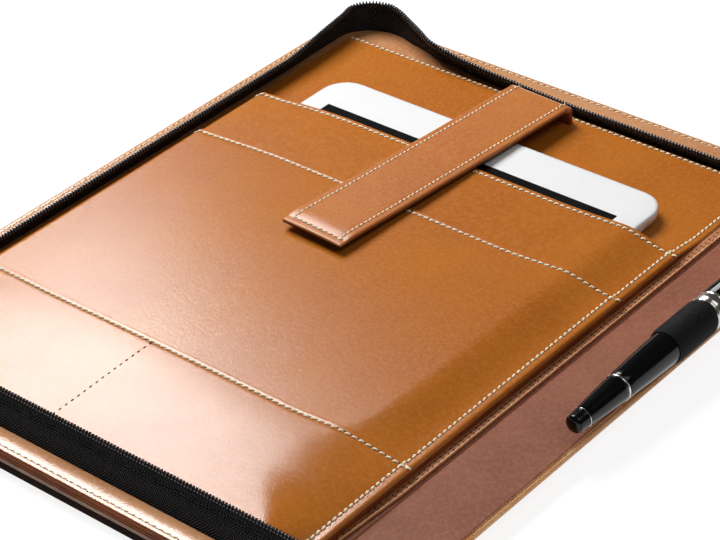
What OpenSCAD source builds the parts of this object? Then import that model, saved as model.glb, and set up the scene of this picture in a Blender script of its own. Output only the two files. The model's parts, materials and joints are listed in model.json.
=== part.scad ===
// Zip-around leather organiser holding a tablet and a pen.
// Stored opened, with the front cover folded right round under the back cover.
// Millimetres. X runs across the covers, Y up them and +Z out of the page.
// Most sheets are drawn in the page frame: X = 0 on the pocket panel's right stitch line,
// Y = 0 on its top stitch line and Z = 0 on the top of the back cover's rim.

/* [Covers] */
// Width of one cover, from its free edge to its fold
cover_w = 239.3; // [230:0.1:260]
// Height of the covers and the spine
cover_h = 320; // [300:1:340]
// Width of the spine between its two folds
spine_w = 27; // [26:0.1:32]
// Radius of the covers' free corners
cover_r = 20; // [12:1:30]
// Thickness of the outer leather
leather_t = 1.1; // [0.8:0.1:1.4]
// From the cover's free edge to the pocket panel's right stitch line
stitch_in = 228.7; // [227:0.1:230]
// From the cover's top edge to the pocket panel's top stitch line
stitch_down = 19.6; // [19:0.1:20.5]
// Thickness of a cover at its sewn rim
rim_t = 2.2; // [2:0.1:2.4]
// Width of the rim band, from the edge to the zip tape
rim_w = 9.5; // [8:0.1:12]
// Room between the folded covers
fold_gap = 0.4; // [0.3:0.1:0.8]
// Total thickness of the padded front cover
front_t = 6.9; // [6:0.1:9]
// Room between the table and the front cover's thick rim
front_rim_up = 0.4; // [0.2:0.1:1]

/* [Pocket panel] */
// Left edge of the panel in the page frame
panel_left = -213; // [-215:0.5:-208]
// Right edge of the panel in the page frame
panel_right = 3; // [2:0.1:6]
// Bottom edge of the panel in the page frame
panel_bottom = -286.5; // [-288:0.5:-284]
// Top edge of the panel in the page frame
panel_top = 1.5; // [1:0.1:3]
// Thickness of each pocket's leather
pocket_t = 0.7; // [0.6:0.05:0.9]
// Middle of the deep tablet pocket's mouth
mouth_one = -64.2; // [-80:0.1:-50]
// Middle of the middle pocket's mouth
mouth_two = -103.7; // [-120:0.1:-90]
// Middle of the low pocket's mouth
mouth_three = -229.6; // [-240:0.1:-200]

/* [Zip] */
// Thickness of the woven tape
tape_t = 0.7; // [0.5:0.1:1]
// Radius of the bead of teeth
teeth_r = 1.2; // [0.8:0.1:1.5]
// Where both zip tapes end, in the page frame
tape_end = 6; // [2:0.5:8]
// Length of the slider
slider_len = 10; // [8:0.5:12]

/* [Strap] */
// Width of the strap
strap_w = 31; // [25:0.5:36]
// Thickness of the strap
strap_t = 2.6; // [2:0.1:3]
// Middle of the strap's root in the page frame
strap_x = -104.5; // [-120:0.5:-90]
// How far the strap is turned out of square
strap_turn = -2.6; // [-5:0.1:0]

/* [Tablet] */
// Width of the tablet
tab_w = 169.5; // [165:0.5:172]
// Height of the tablet
tab_h = 240; // [235:0.5:241]
// Thickness of the tablet
tab_t = 6.1; // [5.5:0.1:6.1]
// Right edge of the tablet in the page frame
tab_right = -17; // [-20:0.1:-16]
// Top edge of the tablet in the page frame
tab_top = -37.2; // [-50:0.1:-35]
// Radius of the tablet's corners
tab_r = 12; // [8:0.5:14]
// Width of the glass beside the screen
bezel_side = 10.6; // [8:0.1:14]
// Width of the glass above and below the screen
bezel_end = 21; // [16:0.5:24]

/* [Pen] */
// Radius of the barrel inside the loop
barrel_r = 6.5; // [6:0.1:6.8]
// Radius of the cap
cap_r = 6.9; // [6.6:0.1:7.2]
// Radius of the tail end
tail_r = 3.8; // [3.4:0.1:4.2]
// Middle of the pen across the page
loop_x = 36.2; // [35:0.1:37]
// Middle of the pen's loop up the page
loop_y = -107; // [-115:0.5:-95]
// Length of the loop along the pen
loop_len = 24.5; // [20:0.5:26]

/* [Hidden] */
fine = 96;
// heights above the table
fold_z = front_t + fold_gap / 2;      // both fold axes
back_z = fold_z + fold_gap / 2;       // underside of the back cover
rim_z = back_z + rim_t;               // top of the back cover's rim
// the pen's elastic loop, which reaches furthest to the right
loop_wall = 0.8;
loop_in = barrel_r + 0.2;
loop_out = loop_in + loop_wall;
// fold axes and the page frame across the covers
left_x = -(stitch_in + loop_x + loop_out) / 2;
fold_a = left_x + cover_w;
fold_b = fold_a + spine_w;
page_x = left_x + stitch_in;
page_y = cover_h / 2 - stitch_down;
fold_r = 1.3;                         // radius of the leather rolled round the right fold
hinge_clear = 1.6;                    // from a fold axis to the sheet that swings round it
hinge_stop = 2.5;                     // from a fold axis to the thicker layers
roll_clear = 2.7;                     // from the rolled fold to the front cover's sheets
lip = 0.6;                            // how far the spine's lining reaches past the right fold
// layers of a cover, up from its outer face
base_in = rim_w + 2.8;                // from a cover's edge to its board, inside the zip tape
front_base_in = rim_w + 4.5;          // the same on the front cover, whose tape lies flatter
board_t = 1;
tape_lay = 0.4;
band_t = rim_t - leather_t - tape_lay;
lining_t = 0.6;
suede_t = 0.8;
insert_t = 1;
pad_t = 2.7;
front_lining_t = 0.9;
doc_t = front_t - leather_t - board_t - pad_t - front_lining_t;
pad_start = 21;                       // from the fold to the front cover's padding
// page frame heights of the pocket panel
panel_z = 0.5;
panel_face = panel_z + insert_t;
page_left = left_x - page_x;
page_fold = fold_a - page_x;
page_high = cover_h / 2 - page_y;
page_low = -cover_h / 2 - page_y;
// tablet
tab_z = panel_face + 0.15;
tab_cx = tab_right - tab_w / 2;
tab_cy = tab_top - tab_h / 2;
tab_wall = 1.2;
glass_t = 0.8;
// pocket mound over the tablet
mound_z = tab_z + tab_t + 0.3;
layer = pocket_t + 0.05;
// pen
spine_lining_t = 0.5;
spine_board_t = 0.4;
spine_top = back_z + 1.9;
spine_leather_t = spine_top - spine_lining_t - spine_board_t - back_z;
pen_z = spine_top + loop_out;
// places along the pen, from the middle of its loop
barrel_end = 12.8;
cap_end = 77;
tail_end = -70;
ring_at = -42;

// the zip tape's shape round the covers, measured from its base:
// [distance along the base, teeth inwards, teeth up, knee inwards, knee up]
tape_gap = 0.7;                       // from the rim band to the tape
base_r = cover_r - rim_w - tape_gap;
run_x = tape_end - (page_left + cover_r);
run_y = cover_h - 2 * cover_r;
arc = 90 * PI / 180 * base_r;
turn_low = run_x;
left_low = turn_low + arc;
left_high = left_low + run_y;
top_left = left_high + arc;
tape_long = top_left + run_x;
BACK_LEAN = [
    [0, 5.5, 11.3, 2.8, 5.7], [turn_low - 40, 5.5, 11.3, 2.8, 5.7], [turn_low + 8, 0.8, 12.6, 0.4, 6.3],
    [left_low + 40, 6.9, 10.3, 3.5, 5.2], [left_high - 45, 6.9, 10.3, 3.5, 5.2],
    [left_high - 14, 5, 13, 2.5, 6.5], [left_high, 4, 13.5, 2, 6.8], [left_high + 8, 0, 13.7, 0, 6.9],
    [top_left + 6, -6.6, 13.7, -3.3, 6.9], [top_left + 21, -2.3, 12.2, -1.1, 6.1],
    [top_left + 37, 5, 11.2, 2.5, 5.6], [top_left + 48, 6.6, 10, 3.6, 4], [top_left + 58, 7, 9, 4.5, 2.4],
    [top_left + 70, 7.1, 8, 5.4, 1.3], [top_left + 96, 6.9, 6.6, 6.3, 1.2],
    [top_left + 118, 6.8, 5.7, 6.6, 1.2],
    [tape_long, 6.8, 5.7, 6.6, 1.2]
];
flat_tape = [11, 3.4, 5.5, 1.7];
turn_tape = [9.4, 3.4, 4.7, 1.7];
FRONT_LEAN = [
    concat(0, flat_tape), concat(turn_low - 20, flat_tape), concat(turn_low + 8, turn_tape),
    concat(left_low + 20, flat_tape), concat(left_high - 20, flat_tape),
    concat(left_high + 8, turn_tape), concat(top_left + 20, flat_tape), concat(tape_long, flat_tape)
];
STATIONS = concat(
    [for (s = [0 : 12 : turn_low - 8]) s],
    [for (k = [0 : 6]) turn_low + k * arc / 6],
    [for (s = [left_low + 8 : 10 : left_high - 4]) s],
    [for (k = [0 : 8]) left_high + k * arc / 8],
    [for (s = [top_left + 4 : 6 : top_left + 82]) s],
    [for (s = [top_left + 94 : 15 : tape_long - 6]) s],
    [tape_long]
);

tan_leather = "peru";
dark_leather = "saddlebrown";
suede = "rosybrown";
black = [0.06, 0.06, 0.07];

// ---------- helpers ----------

// Puts a page-frame shape in its place on the back cover.
module page() {
    translate([page_x, page_y, rim_z]) children();
}

// Puts a shape of the back cover's layout under it, as the front cover.
module folded_under() {
    translate([spine_w, 0, 2 * fold_z]) mirror([0, 0, 1]) children();
}

module rounded_rect(w, h, r) {
    square([w - 2 * r, h], center = true);
    square([w, h - 2 * r], center = true);
    for (x = [-1, 1], y = [-1, 1])
        translate([x * (w / 2 - r), y * (h / 2 - r)]) circle(r, $fn = fine);
}

// A rectangle from two corners.
module area(x0, y0, x1, y1) {
    translate([x0, y0]) square([x1 - x0, y1 - y0]);
}

// A cover's outline set in by inset, ending at x_end, with two round corners on its free side.
module cover_outline(inset, x_end) {
    r = cover_r - inset;
    x0 = page_left + inset;
    y0 = page_low + inset;
    y1 = page_high - inset;
    area(x0 + r, y0, x_end, y1);
    area(x0, y0 + r, x_end, y1 - r);
    for (y = [y0 + r, y1 - r]) translate([x0 + r, y]) circle(r, $fn = fine);
}

// One flat layer of a cover between two heights of the page frame.
module cover_layer(inset, x_end, z0, z1) {
    page() translate([0, 0, z0]) linear_extrude(z1 - z0) cover_outline(inset, x_end);
}

// The band sewn round the three free sides of a cover, up to a height of the page frame.
module rim_band_layer(x_end, top) {
    page() translate([0, 0, -band_t]) linear_extrude(band_t + top) difference() {
        cover_outline(0, x_end);
        cover_outline(rim_w, x_end + 1);
    }
}

// A closed tube of loops of points, all of one length, joined in order.
module skin(loops) {
    n = len(loops[0]);
    m = len(loops);
    polyhedron(
        points = [for (l = loops, p = l) p],
        faces = concat(
            [for (i = [1 : n - 2]) [0, i, i + 1]],
            [for (k = [0 : m - 2], i = [0 : n - 1])
                [k * n + i, (k + 1) * n + i, (k + 1) * n + (i + 1) % n]],
            [for (k = [0 : m - 2], i = [0 : n - 1])
                [k * n + i, (k + 1) * n + (i + 1) % n, k * n + (i + 1) % n]],
            [for (i = [1 : n - 2]) [(m - 1) * n, (m - 1) * n + i + 1, (m - 1) * n + i]]
        ),
        convexity = 6
    );
}

// ---------- zip tape path ----------

corner_x = page_left + cover_r;
corner_low = page_low + cover_r;
corner_high = page_high - cover_r;

// Direction out of the cover, in degrees, at a distance along the tape's base.
function out_angle(s) =
    s < turn_low ? -90 :
    s < left_low ? -90 - 90 * (s - turn_low) / arc :
    s < left_high ? -180 :
    s < top_left ? -180 - 90 * (s - left_high) / arc : -270;

// Point of the tape's base at a distance along it.
function base_point(s) = let (a = out_angle(s))
    s < turn_low ? [tape_end - s, corner_low - base_r] :
    s < left_low ? [corner_x + base_r * cos(a), corner_low + base_r * sin(a)] :
    s < left_high ? [corner_x - base_r, corner_low + s - left_low] :
    s < top_left ? [corner_x + base_r * cos(a), corner_high + base_r * sin(a)] :
    [corner_x + s - top_left, corner_high + base_r];

function ease(t) = t * t * (3 - 2 * t);

// The tape's shape at a distance along it, smoothed between the table's rows.
function shape_at(s, table, i = 0) =
    i >= len(table) - 2 || s <= table[i + 1][0]
        ? let (a = table[i], b = table[i + 1], t = ease(min(1, max(0, (s - a[0]) / (b[0] - a[0])))))
            [for (k = [1 : 4]) a[k] + t * (b[k] - a[k])]
        : shape_at(s, table, i + 1);

base_drop = -0.72;

// A point of the tape's section, at a distance inwards and up from its base, set off to one side
// of the way [inwards, up] that the tape runs there.
function tape_point(s, place, way, side) =
    let (a = out_angle(s), out = [cos(a), sin(a)], b = base_point(s), long = norm(way),
         inwards = place[0] - side * way[1] / long, up = place[1] + side * way[0] / long,
         flat = b - out * inwards)
    [flat[0], flat[1], base_drop + up];

function knee_of(l) = [l[2], l[3]];
function tip_of(l) = [l[0], l[1]];

module tape_wall(table) {
    skin([for (s = STATIONS)
        let (l = shape_at(s, table), knee = knee_of(l), way = tip_of(l) - knee,
             tip = tip_of(l) - way * (teeth_r + 0.2) / norm(way), half = tape_t / 2) [
        tape_point(s, [0, 0], knee, half),
        tape_point(s, knee, knee / norm(knee) + way / norm(way), half),
        tape_point(s, tip, way, half),
        tape_point(s, tip, way, -half),
        tape_point(s, knee, knee / norm(knee) + way / norm(way), -half),
        tape_point(s, [0, 0], knee, -half)
    ]]);
}

module teeth_bead(table) {
    sides = 8;
    skin([for (s = STATIONS)
        let (l = shape_at(s, table), way = tip_of(l) - knee_of(l), along = way / norm(way))
        [for (k = [sides - 1 : -1 : 0])
            let (q = (k + 0.5) * 360 / sides)
            tape_point(s, tip_of(l) + along * teeth_r * cos(q), way, teeth_r * sin(q))
        ]
    ]);
}

// The part of the tape sewn under the rim band.
module tape_margin() {
    translate([0, 0, -leather_t]) linear_extrude(tape_lay) difference() {
        cover_outline(2.5, tape_end);
        cover_outline(rim_w + tape_gap, tape_end + 1);
    }
}

module zip_tape(table) {
    page() {
        tape_margin();
        tape_wall(table);
    }
}

// Two small stops that close the ends of a row of teeth.
module zip_stops(table) {
    page() for (s = [0, tape_long]) {
        l = shape_at(s, table);
        p = tape_point(s, tip_of(l), tip_of(l) - knee_of(l), 0);
        translate([p[0] + 1.4, p[1], p[2]]) rotate([0, 90, 0])
            cylinder(r = teeth_r + 0.3, h = 2, center = true, $fn = fine);
    }
}

// ---------- back cover ----------

module back_outer_leather() {
    color(tan_leather) cover_layer(0, page_fold - 0.3, -rim_t, leather_t - rim_t);
}

// The room beside the panel's top edge where the zip tape lies low.
module low_tape_room() {
    page() translate([-161, 1.2, -2]) cube([180, 20, 4]);
}

module back_board() {
    color("tan") difference() {
        cover_layer(base_in, -3, -leather_t, board_t - leather_t);
        low_tape_room();
    }
}

module back_rim_band() {
    color(tan_leather) rim_band_layer(page_fold - hinge_stop, 0);
}

module back_lining() {
    color("burlywood") difference() {
        cover_layer(base_in, -2, panel_z - lining_t, panel_z);
        low_tape_room();
    }
}

module back_suede_margin() {
    color(suede) page() translate([0, 0, -leather_t]) linear_extrude(suede_t)
        area(-1.8, page_low + rim_w + 2, page_fold - hinge_stop, 1.2);
}

// The margin beside the pocket panel, which narrows a little at its foot.
module margin_strip() {
    low = page_low + rim_w + 3;
    high = 1.2;
    edge = 6.8;
    foot_edge = 3.9;
    z0 = suede_t - leather_t;
    color(dark_leather) page() translate([0, 0, z0]) linear_extrude(panel_z - z0)
        polygon([[-1.8, low], [foot_edge, low], [edge, low + 52], [edge, high], [-1.8, high]]);
}

module pocket_panel() {
    color(tan_leather) page() translate([0, 0, panel_z]) linear_extrude(insert_t)
        area(panel_left, panel_bottom, panel_right, panel_top);
}

// The panel's outline below a pocket's mouth, which turns up or down at its two ends.
module mouth_outline(mouth, left_up, right_up) {
    steps = 28;
    shoulder = 55;
    width = panel_right - panel_left;
    polygon(concat(
        [[panel_left, panel_bottom], [panel_right, panel_bottom]],
        [for (k = [0 : steps]) let (x = panel_right - width * k / steps,
                                    left = ease(max(0, 1 - (x - panel_left) / shoulder)),
                                    right = ease(max(0, 1 - (panel_right - x) / shoulder)))
            [x, mouth + left_up * left + right_up * right]]
    ));
}

// Everything below a pocket's leather: the panel, rising to a flat crown over the tablet.
module mound(z_foot, z_crown) {
    crown = [tab_right - tab_w - 17, tab_cy - tab_h / 2 - 5.8, tab_right + 2.2];
    foot = [crown[0] - 6.5, crown[1] - 3.4, crown[2] + 15];
    y_top = 20;
    r = 10;
    hull() {
        translate([0, 0, z_crown - 0.1]) linear_extrude(0.1) {
            area(crown[0], crown[1] + r, crown[2], y_top);
            for (x = [crown[0] + r, crown[2] - r])
                translate([x, crown[1] + r]) circle(r, $fn = fine);
        }
        translate([0, 0, z_foot - 0.1]) linear_extrude(0.1) area(foot[0], foot[1], foot[2], y_top);
    }
    translate([0, 0, z_foot - 6]) linear_extrude(6) area(-250, -300, 50, y_top);
}

// One pocket: number 0 lies next to the tablet and the others lie on it.
module pocket(number, mouth, left_up, right_up) {
    z_foot = panel_face + number * layer;
    z_crown = mound_z + number * layer;
    color(tan_leather) page() intersection() {
        translate([0, 0, z_foot]) linear_extrude(z_crown - z_foot + pocket_t)
            mouth_outline(mouth, left_up, right_up);
        difference() {
            mound(z_foot + pocket_t, z_crown + pocket_t);
            mound(z_foot, z_crown);
        }
    }
}

module tablet_pocket() {
    pocket(0, mouth_one, -4.2, 2.9);
}

module middle_pocket() {
    color(tan_leather) difference() {
        pocket(1, mouth_two, -3.2, 4.3);
        translate([0, 0, -0.5]) keeper_disc(keeper_r + 0.1, keeper_t + 0.55);
    }
}

module low_pocket() {
    pocket(2, mouth_three, 1.6, 4.9);
}

module back_zip_tape() {
    color(black) zip_tape(BACK_LEAN);
}

module back_zip_teeth() {
    color("black") page() teeth_bead(BACK_LEAN);
}

module back_zip_stops() {
    color("silver") zip_stops(BACK_LEAN);
}

// ---------- strap ----------

strap_axis_y = -5.8;
strap_axis_z = 6.4;
strap_in = 1.4;
// underside of the strap, from its root to its tip: [y, z]
STRAP_UNDER = [[-6.2, 7.8], [-20, 8.15], [-36, 8.6], [-63, 9.6], [-84, 10.2], [-103, 10.9],
    [-124, 11.8], [-145, 12.8]];
strap_lining_t = 1.2;

module strap_place() {
    page() translate([strap_x, 0, 0]) rotate([0, 0, strap_turn]) children();
}

// A layer of the strap between two heights above its underside.
module strap_layer(low, high, inset) {
    last = len(STRAP_UNDER) - 1;
    translate([-strap_w / 2 + inset, 0, 0]) rotate([90, 0, 90]) linear_extrude(strap_w - 2 * inset)
        polygon(concat(
            [for (p = STRAP_UNDER) [p[0] + (p == STRAP_UNDER[last] ? inset : 0), p[1] + low]],
            [for (i = [last : -1 : 0])
                [STRAP_UNDER[i][0] + (i == last ? inset : 0), STRAP_UNDER[i][1] + high]]
        ));
}

magnet_r = 6;
magnet_t = 0.8;
magnet_y = -136;
magnet_under = 12.37;                 // the strap's underside at the magnet
tip_slope = 2.73;

// A disc that lies in the strap's tip, between two heights above the underside.
module tip_disc(r, low, high) {
    translate([0, magnet_y, magnet_under]) rotate([-tip_slope, 0, 0]) translate([0, 0, low])
        cylinder(r = r, h = high - low, $fn = fine);
}

module strap_leather() {
    color(tan_leather) strap_place() difference() {
        strap_layer(strap_lining_t, strap_t, 0);
        tip_disc(magnet_r + 0.1, strap_lining_t - 0.2, strap_lining_t + magnet_t + 0.15);
    }
}

module strap_lining() {
    color(dark_leather) strap_place() strap_layer(0, strap_lining_t - 0.02, 0.3);
}

module strap_magnet() {
    color("silver") strap_place()
        tip_disc(magnet_r, strap_lining_t + 0.1, strap_lining_t + 0.1 + magnet_t);
}

// The strap's sewn root, standing up from the panel to the bend.
module strap_anchor() {
    y_in = strap_axis_y + strap_in;
    y_out = y_in + strap_t;
    top = strap_axis_z - 0.4;
    color(tan_leather) strap_place() translate([-strap_w / 2, 0, 0]) rotate([90, 0, 90])
        linear_extrude(strap_w) polygon([
            [y_in, panel_face], [y_in, top], [y_out, top], [y_out, panel_face + 1.2],
            [0.4, panel_face + 0.9], [0.4, panel_face]
        ]);
}

// The steel disc set into the middle pocket's back, which the strap's magnet holds.
keeper_r = 8;
keeper_t = 0.4;
keeper_z = mound_z + layer + 0.02;

module keeper_disc(r, t) {
    strap_place() translate([0, magnet_y, keeper_z]) cylinder(r = r, h = t, $fn = fine);
}

module keeper_plate() {
    color("silver") keeper_disc(keeper_r, keeper_t);
}

// ---------- spine ----------

module spine_outer_leather() {
    color(tan_leather) {
        translate([fold_a + hinge_clear, -cover_h / 2, back_z])
            cube([spine_w - hinge_clear, cover_h, spine_leather_t]);
        translate([fold_b, 0, fold_z]) rotate([90, 0, 0])
            cylinder(r = fold_r, h = cover_h, center = true, $fn = fine);
    }
}

module spine_board() {
    color("tan") translate([fold_a + hinge_clear + 1, -cover_h / 2 + 4, back_z + spine_leather_t])
        cube([spine_w - hinge_clear - 4, cover_h - 8, spine_board_t]);
}

module spine_lining() {
    color(suede) translate([fold_a + hinge_clear, -cover_h / 2, spine_top - spine_lining_t])
        cube([spine_w - hinge_clear + lip, cover_h, spine_lining_t]);
}

module pen_place() {
    translate([page_x + loop_x, page_y + loop_y, pen_z]) rotate([-90, 0, 0]) children();
}

module pen_loop() {
    color(black) pen_place() difference() {
        cylinder(r = loop_out, h = loop_len, center = true, $fn = fine);
        cylinder(r = loop_in, h = loop_len + 1, center = true, $fn = fine);
    }
}

// ---------- front cover ----------

module front_outer_leather() {
    color(tan_leather) folded_under()
        cover_layer(0, page_fold - roll_clear, -rim_t, leather_t - rim_t);
}

module front_board() {
    color("tan") folded_under()
        cover_layer(front_base_in, -3, -leather_t, board_t - leather_t);
}

module front_rim_band() {
    color(dark_leather) folded_under()
        rim_band_layer(page_fold - roll_clear, front_t - rim_t - front_rim_up);
}

// The front cover's inner layers lie inside the flattened zip tape.
front_in = rim_w + 14;

module front_inner_layer(inset, low, high) {
    folded_under() cover_layer_inner(inset, low - rim_t, high - rim_t);
}

module cover_layer_inner(inset, z0, z1) {
    w = page_fold - pad_start - page_left - rim_w - inset;
    h = cover_h - 2 * (rim_w + inset);
    page() translate([page_left + rim_w + inset + w / 2, (page_high + page_low) / 2, z0])
        linear_extrude(z1 - z0) rounded_rect(w, h, 6);
}

module front_padding() {
    color("dimgray") front_inner_layer(14, leather_t + board_t, leather_t + board_t + pad_t);
}

module front_lining() {
    z = leather_t + board_t + pad_t;
    color("burlywood") front_inner_layer(13.6, z, z + front_lining_t);
}

module document_pocket() {
    z = leather_t + board_t + pad_t + front_lining_t;
    color(tan_leather) front_inner_layer(14, z, z + doc_t);
}

module front_suede_margin() {
    color(suede) folded_under() page() translate([0, 0, -leather_t]) linear_extrude(suede_t)
        area(-2.6, page_low + front_base_in, page_fold - roll_clear, page_high - front_base_in);
}

module front_zip_tape() {
    color(black) folded_under() zip_tape(FRONT_LEAN);
}

module front_zip_teeth() {
    color("black") folded_under() page() teeth_bead(FRONT_LEAN);
}

module front_zip_stops() {
    color("silver") folded_under() zip_stops(FRONT_LEAN);
}

// ---------- zip slider ----------

slider_x = 0.5;
slider_tape = BACK_LEAN[len(BACK_LEAN) - 1];
slider_angle = 90 + atan2(slider_tape[1] - slider_tape[3], slider_tape[2] - slider_tape[4]);
slider_gap = teeth_r + 0.25;
plate_t = 0.8;
slider_near = -2.8;
slider_far = 5.6;
flange_w = 0.7;
bridge_w = 2;
bridge_h = 1.8;
pin_r = 0.38;
pin_up = 0.45;

// Local X runs along the zip, Y beyond the teeth and Z into the organiser.
module slider_place() {
    page() translate([slider_x, page_high - rim_w - tape_gap - slider_tape[1], base_drop + slider_tape[2]])
        rotate([slider_angle, 0, 0]) children();
}

module slider_body() {
    color("dimgray") slider_place() {
        for (side = [-1, 1]) {
            z = side > 0 ? slider_gap : -slider_gap - plate_t;
            translate([-slider_len / 2, slider_near, z])
                cube([slider_len, slider_far - slider_near, plate_t]);
            for (y = [slider_near, slider_far - flange_w])
                translate([-slider_len / 2, y, side > 0 ? 0.7 : -slider_gap])
                    cube([slider_len, flange_w, slider_gap - 0.7]);
        }
        translate([slider_len / 2 - 2.6, teeth_r + 0.3, -slider_gap]) cube([2.2, 2.2, 2 * slider_gap]);
    }
}

outer_face = -slider_gap - plate_t;

module slider_bridge() {
    half = 3.4;
    color("dimgray") slider_place() translate([0, bridge_w / 2, outer_face])
        rotate([90, 0, 0]) linear_extrude(bridge_w) polygon([
            [-half, 0], [-half + 0.5, -bridge_h], [half - 0.5, -bridge_h], [half, 0],
            [half - 1.1, 0], [half - 1.4, 0.9 - bridge_h], [1.4 - half, 0.9 - bridge_h], [1.1 - half, 0]
        ]);
}

module slider_pull() {
    arm_y = bridge_w / 2 + 0.3;
    arm_w = 0.9;
    z = outer_face - pin_up;
    color("dimgray") slider_place() {
        translate([0, 0, z]) rotate([90, 0, 0])
            cylinder(r = pin_r, h = 2 * arm_y + 0.4, center = true, $fn = fine);
        for (side = [-1, 1])
            translate([-4.6, side > 0 ? arm_y : -arm_y - arm_w, z - pin_r]) cube([4.7, arm_w, 2 * pin_r]);
        difference() {
            translate([-13.5, -2.6, z - pin_r]) cube([9, 5.2, 2 * pin_r]);
            translate([-11.3, 0, z - 1]) cylinder(r = 1.2, h = 2, $fn = fine);
        }
    }
}

// ---------- tablet ----------

screen_w = tab_w - 2 * bezel_side;
screen_h = tab_h - 2 * bezel_end;
tab_top_z = tab_z + tab_t;
floor_t = 0.9;

// Puts a shape drawn round the tablet's middle, with Z = 0 on its back, in its place.
module tablet_place() {
    page() translate([tab_cx, tab_cy, tab_z]) children();
}

module tablet_housing() {
    port_w = 10;
    color("silver") tablet_place() difference() {
        linear_extrude(tab_t) rounded_rect(tab_w, tab_h, tab_r);
        translate([0, 0, floor_t]) linear_extrude(tab_t)
            rounded_rect(tab_w - 2 * tab_wall, tab_h - 2 * tab_wall, tab_r - tab_wall);
        translate([0, -tab_h / 2, 2.6]) cube([port_w, 4, 2.2], center = true);
        sleep_slot(0.1);
        volume_slot(0.1);
        switch_slot(0.1);
    }
}

home_r = 6;
home_y = -tab_h / 2 + bezel_end / 2;
glass_in = tab_wall + 0.05;
camera_y = tab_h / 2 - bezel_end / 2;
camera_r = 1.6;

module tablet_bezel() {
    color("white") tablet_place() translate([0, 0, tab_t - glass_t]) difference() {
        linear_extrude(glass_t) difference() {
            rounded_rect(tab_w - 2 * glass_in, tab_h - 2 * glass_in, tab_r - glass_in);
            square([screen_w, screen_h], center = true);
        }
        translate([0, home_y, -1]) cylinder(r = home_r + 0.15, h = 3, $fn = fine);
        translate([0, camera_y, -1]) cylinder(r = camera_r + 0.05, h = 3, $fn = fine);
    }
}

module tablet_display() {
    t = 1.6;
    color([0.05, 0.05, 0.06]) tablet_place() translate([0, 0, tab_t - t]) linear_extrude(t)
        square([screen_w - 0.1, screen_h - 0.1], center = true);
}

module tablet_battery() {
    color("gray") tablet_place() for (side = [-1, 1])
        translate([side * 34, 2, floor_t + 1.4]) cube([62, 150, 2.4], center = true);
}

module tablet_logic_board() {
    color("seagreen") tablet_place() {
        translate([-tab_w / 2 + 9, 0, floor_t + 0.6]) cube([10, 180, 1], center = true);
        translate([-tab_w / 2 + 9, 20, floor_t + 1.6]) cube([8, 14, 1], center = true);
    }
}

module tablet_speakers() {
    color("dimgray") tablet_place() for (side = [-1, 1])
        translate([side * 40, -tab_h / 2 + 9, floor_t + 1.4]) cube([34, 10, 2.4], center = true);
}

module tablet_dock_socket() {
    color("dimgray") tablet_place() translate([0, -tab_h / 2 + 5.4, 2.6]) difference() {
        cube([14, 8, 2.3], center = true);
        translate([0, -2, 0]) cube([9, 8, 1.7], center = true);
    }
}

module tablet_camera() {
    color([0.05, 0.05, 0.08]) tablet_place() translate([0, camera_y, tab_t - 3])
        cylinder(r = camera_r, h = 2.9, $fn = fine);
}

module home_button() {
    color("white") tablet_place() translate([0, home_y, tab_t - 1.9])
        cylinder(r = home_r, h = 1.7, $fn = fine);
}

// A button through the housing's wall: middle, size and the clear room round it.
module wall_button(x, y, w, h, room) {
    translate([x, y, tab_t / 2 + 0.2]) cube([w + 2 * room, h + 2 * room, 1.6 + 2 * room], center = true);
}

button_out = 0.4;
button_deep = 2.2;

module sleep_slot(room) {
    wall_button(tab_w / 2 - 22, tab_h / 2 + button_out - button_deep / 2, 10, button_deep, room);
}

module volume_slot(room) {
    wall_button(tab_w / 2 + button_out - button_deep / 2, tab_h / 2 - 38, button_deep, 20, room);
}

// The switch slides in a slot that is longer than it is.
switch_travel = 1.6;
module switch_slot(room) {
    wall_button(tab_w / 2 - 1, tab_h / 2 - 20 - (room > 0 ? switch_travel / 2 : 0), 2.2,
                3.4 + (room > 0 ? switch_travel : 0), room);
}

module sleep_button() {
    color("silver") tablet_place() sleep_slot(0);
}

module volume_button() {
    color("silver") tablet_place() volume_slot(0);
}

module side_switch() {
    color("silver") tablet_place() switch_slot(0);
}

// ---------- pen ----------

section_r = 5;
cartridge_r = 3.6;
barrel_in = 4.4;
ring_r = 5.5;

module pen_barrel() {
    color(black) pen_place() rotate_extrude($fn = fine) polygon([
        [barrel_in, ring_at + 4], [barrel_in, barrel_end], [barrel_r, barrel_end],
        [barrel_r, -10], [ring_r - 0.15, ring_at + 0.6], [0, ring_at + 0.6], [0, ring_at + 4]
    ]);
}

module pen_tail() {
    collar = tail_r + 0.25;
    color(black) pen_place() rotate_extrude($fn = fine) polygon([
        [0, ring_at - 0.6], [ring_r - 0.2, ring_at - 0.6], [collar, tail_end + 7],
        [collar, tail_end + 6], [tail_r, tail_end + 1.4], [tail_r - 0.9, tail_end + 0.3], [0, tail_end]
    ]);
}

module pen_rings() {
    color("silver") pen_place() {
        translate([0, 0, ring_at - 0.58]) cylinder(r = ring_r + 0.1, h = 1.16, $fn = fine);
        translate([0, 0, tail_end + 6.1]) difference() {
            cylinder(r = tail_r + 0.45, h = 0.8, $fn = fine);
            translate([0, 0, -1]) cylinder(r = tail_r + 0.26, h = 3, $fn = fine);
        }
    }
}

module pen_section() {
    color(black) pen_place() rotate_extrude($fn = fine) polygon([
        [1.6, barrel_end + 0.02], [section_r, barrel_end + 0.02], [section_r, barrel_end + 3],
        [4.2, barrel_end + 17], [4.5, barrel_end + 20], [1.6, barrel_end + 20]
    ]);
}

module pen_nib() {
    color("silver") pen_place() rotate_extrude($fn = fine) polygon([
        [0, barrel_end + 16], [1.55, barrel_end + 16], [1.55, barrel_end + 20.1],
        [3.2, barrel_end + 20.1], [2.8, barrel_end + 26], [0.4, barrel_end + 40], [0, barrel_end + 40]
    ]);
}

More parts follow.
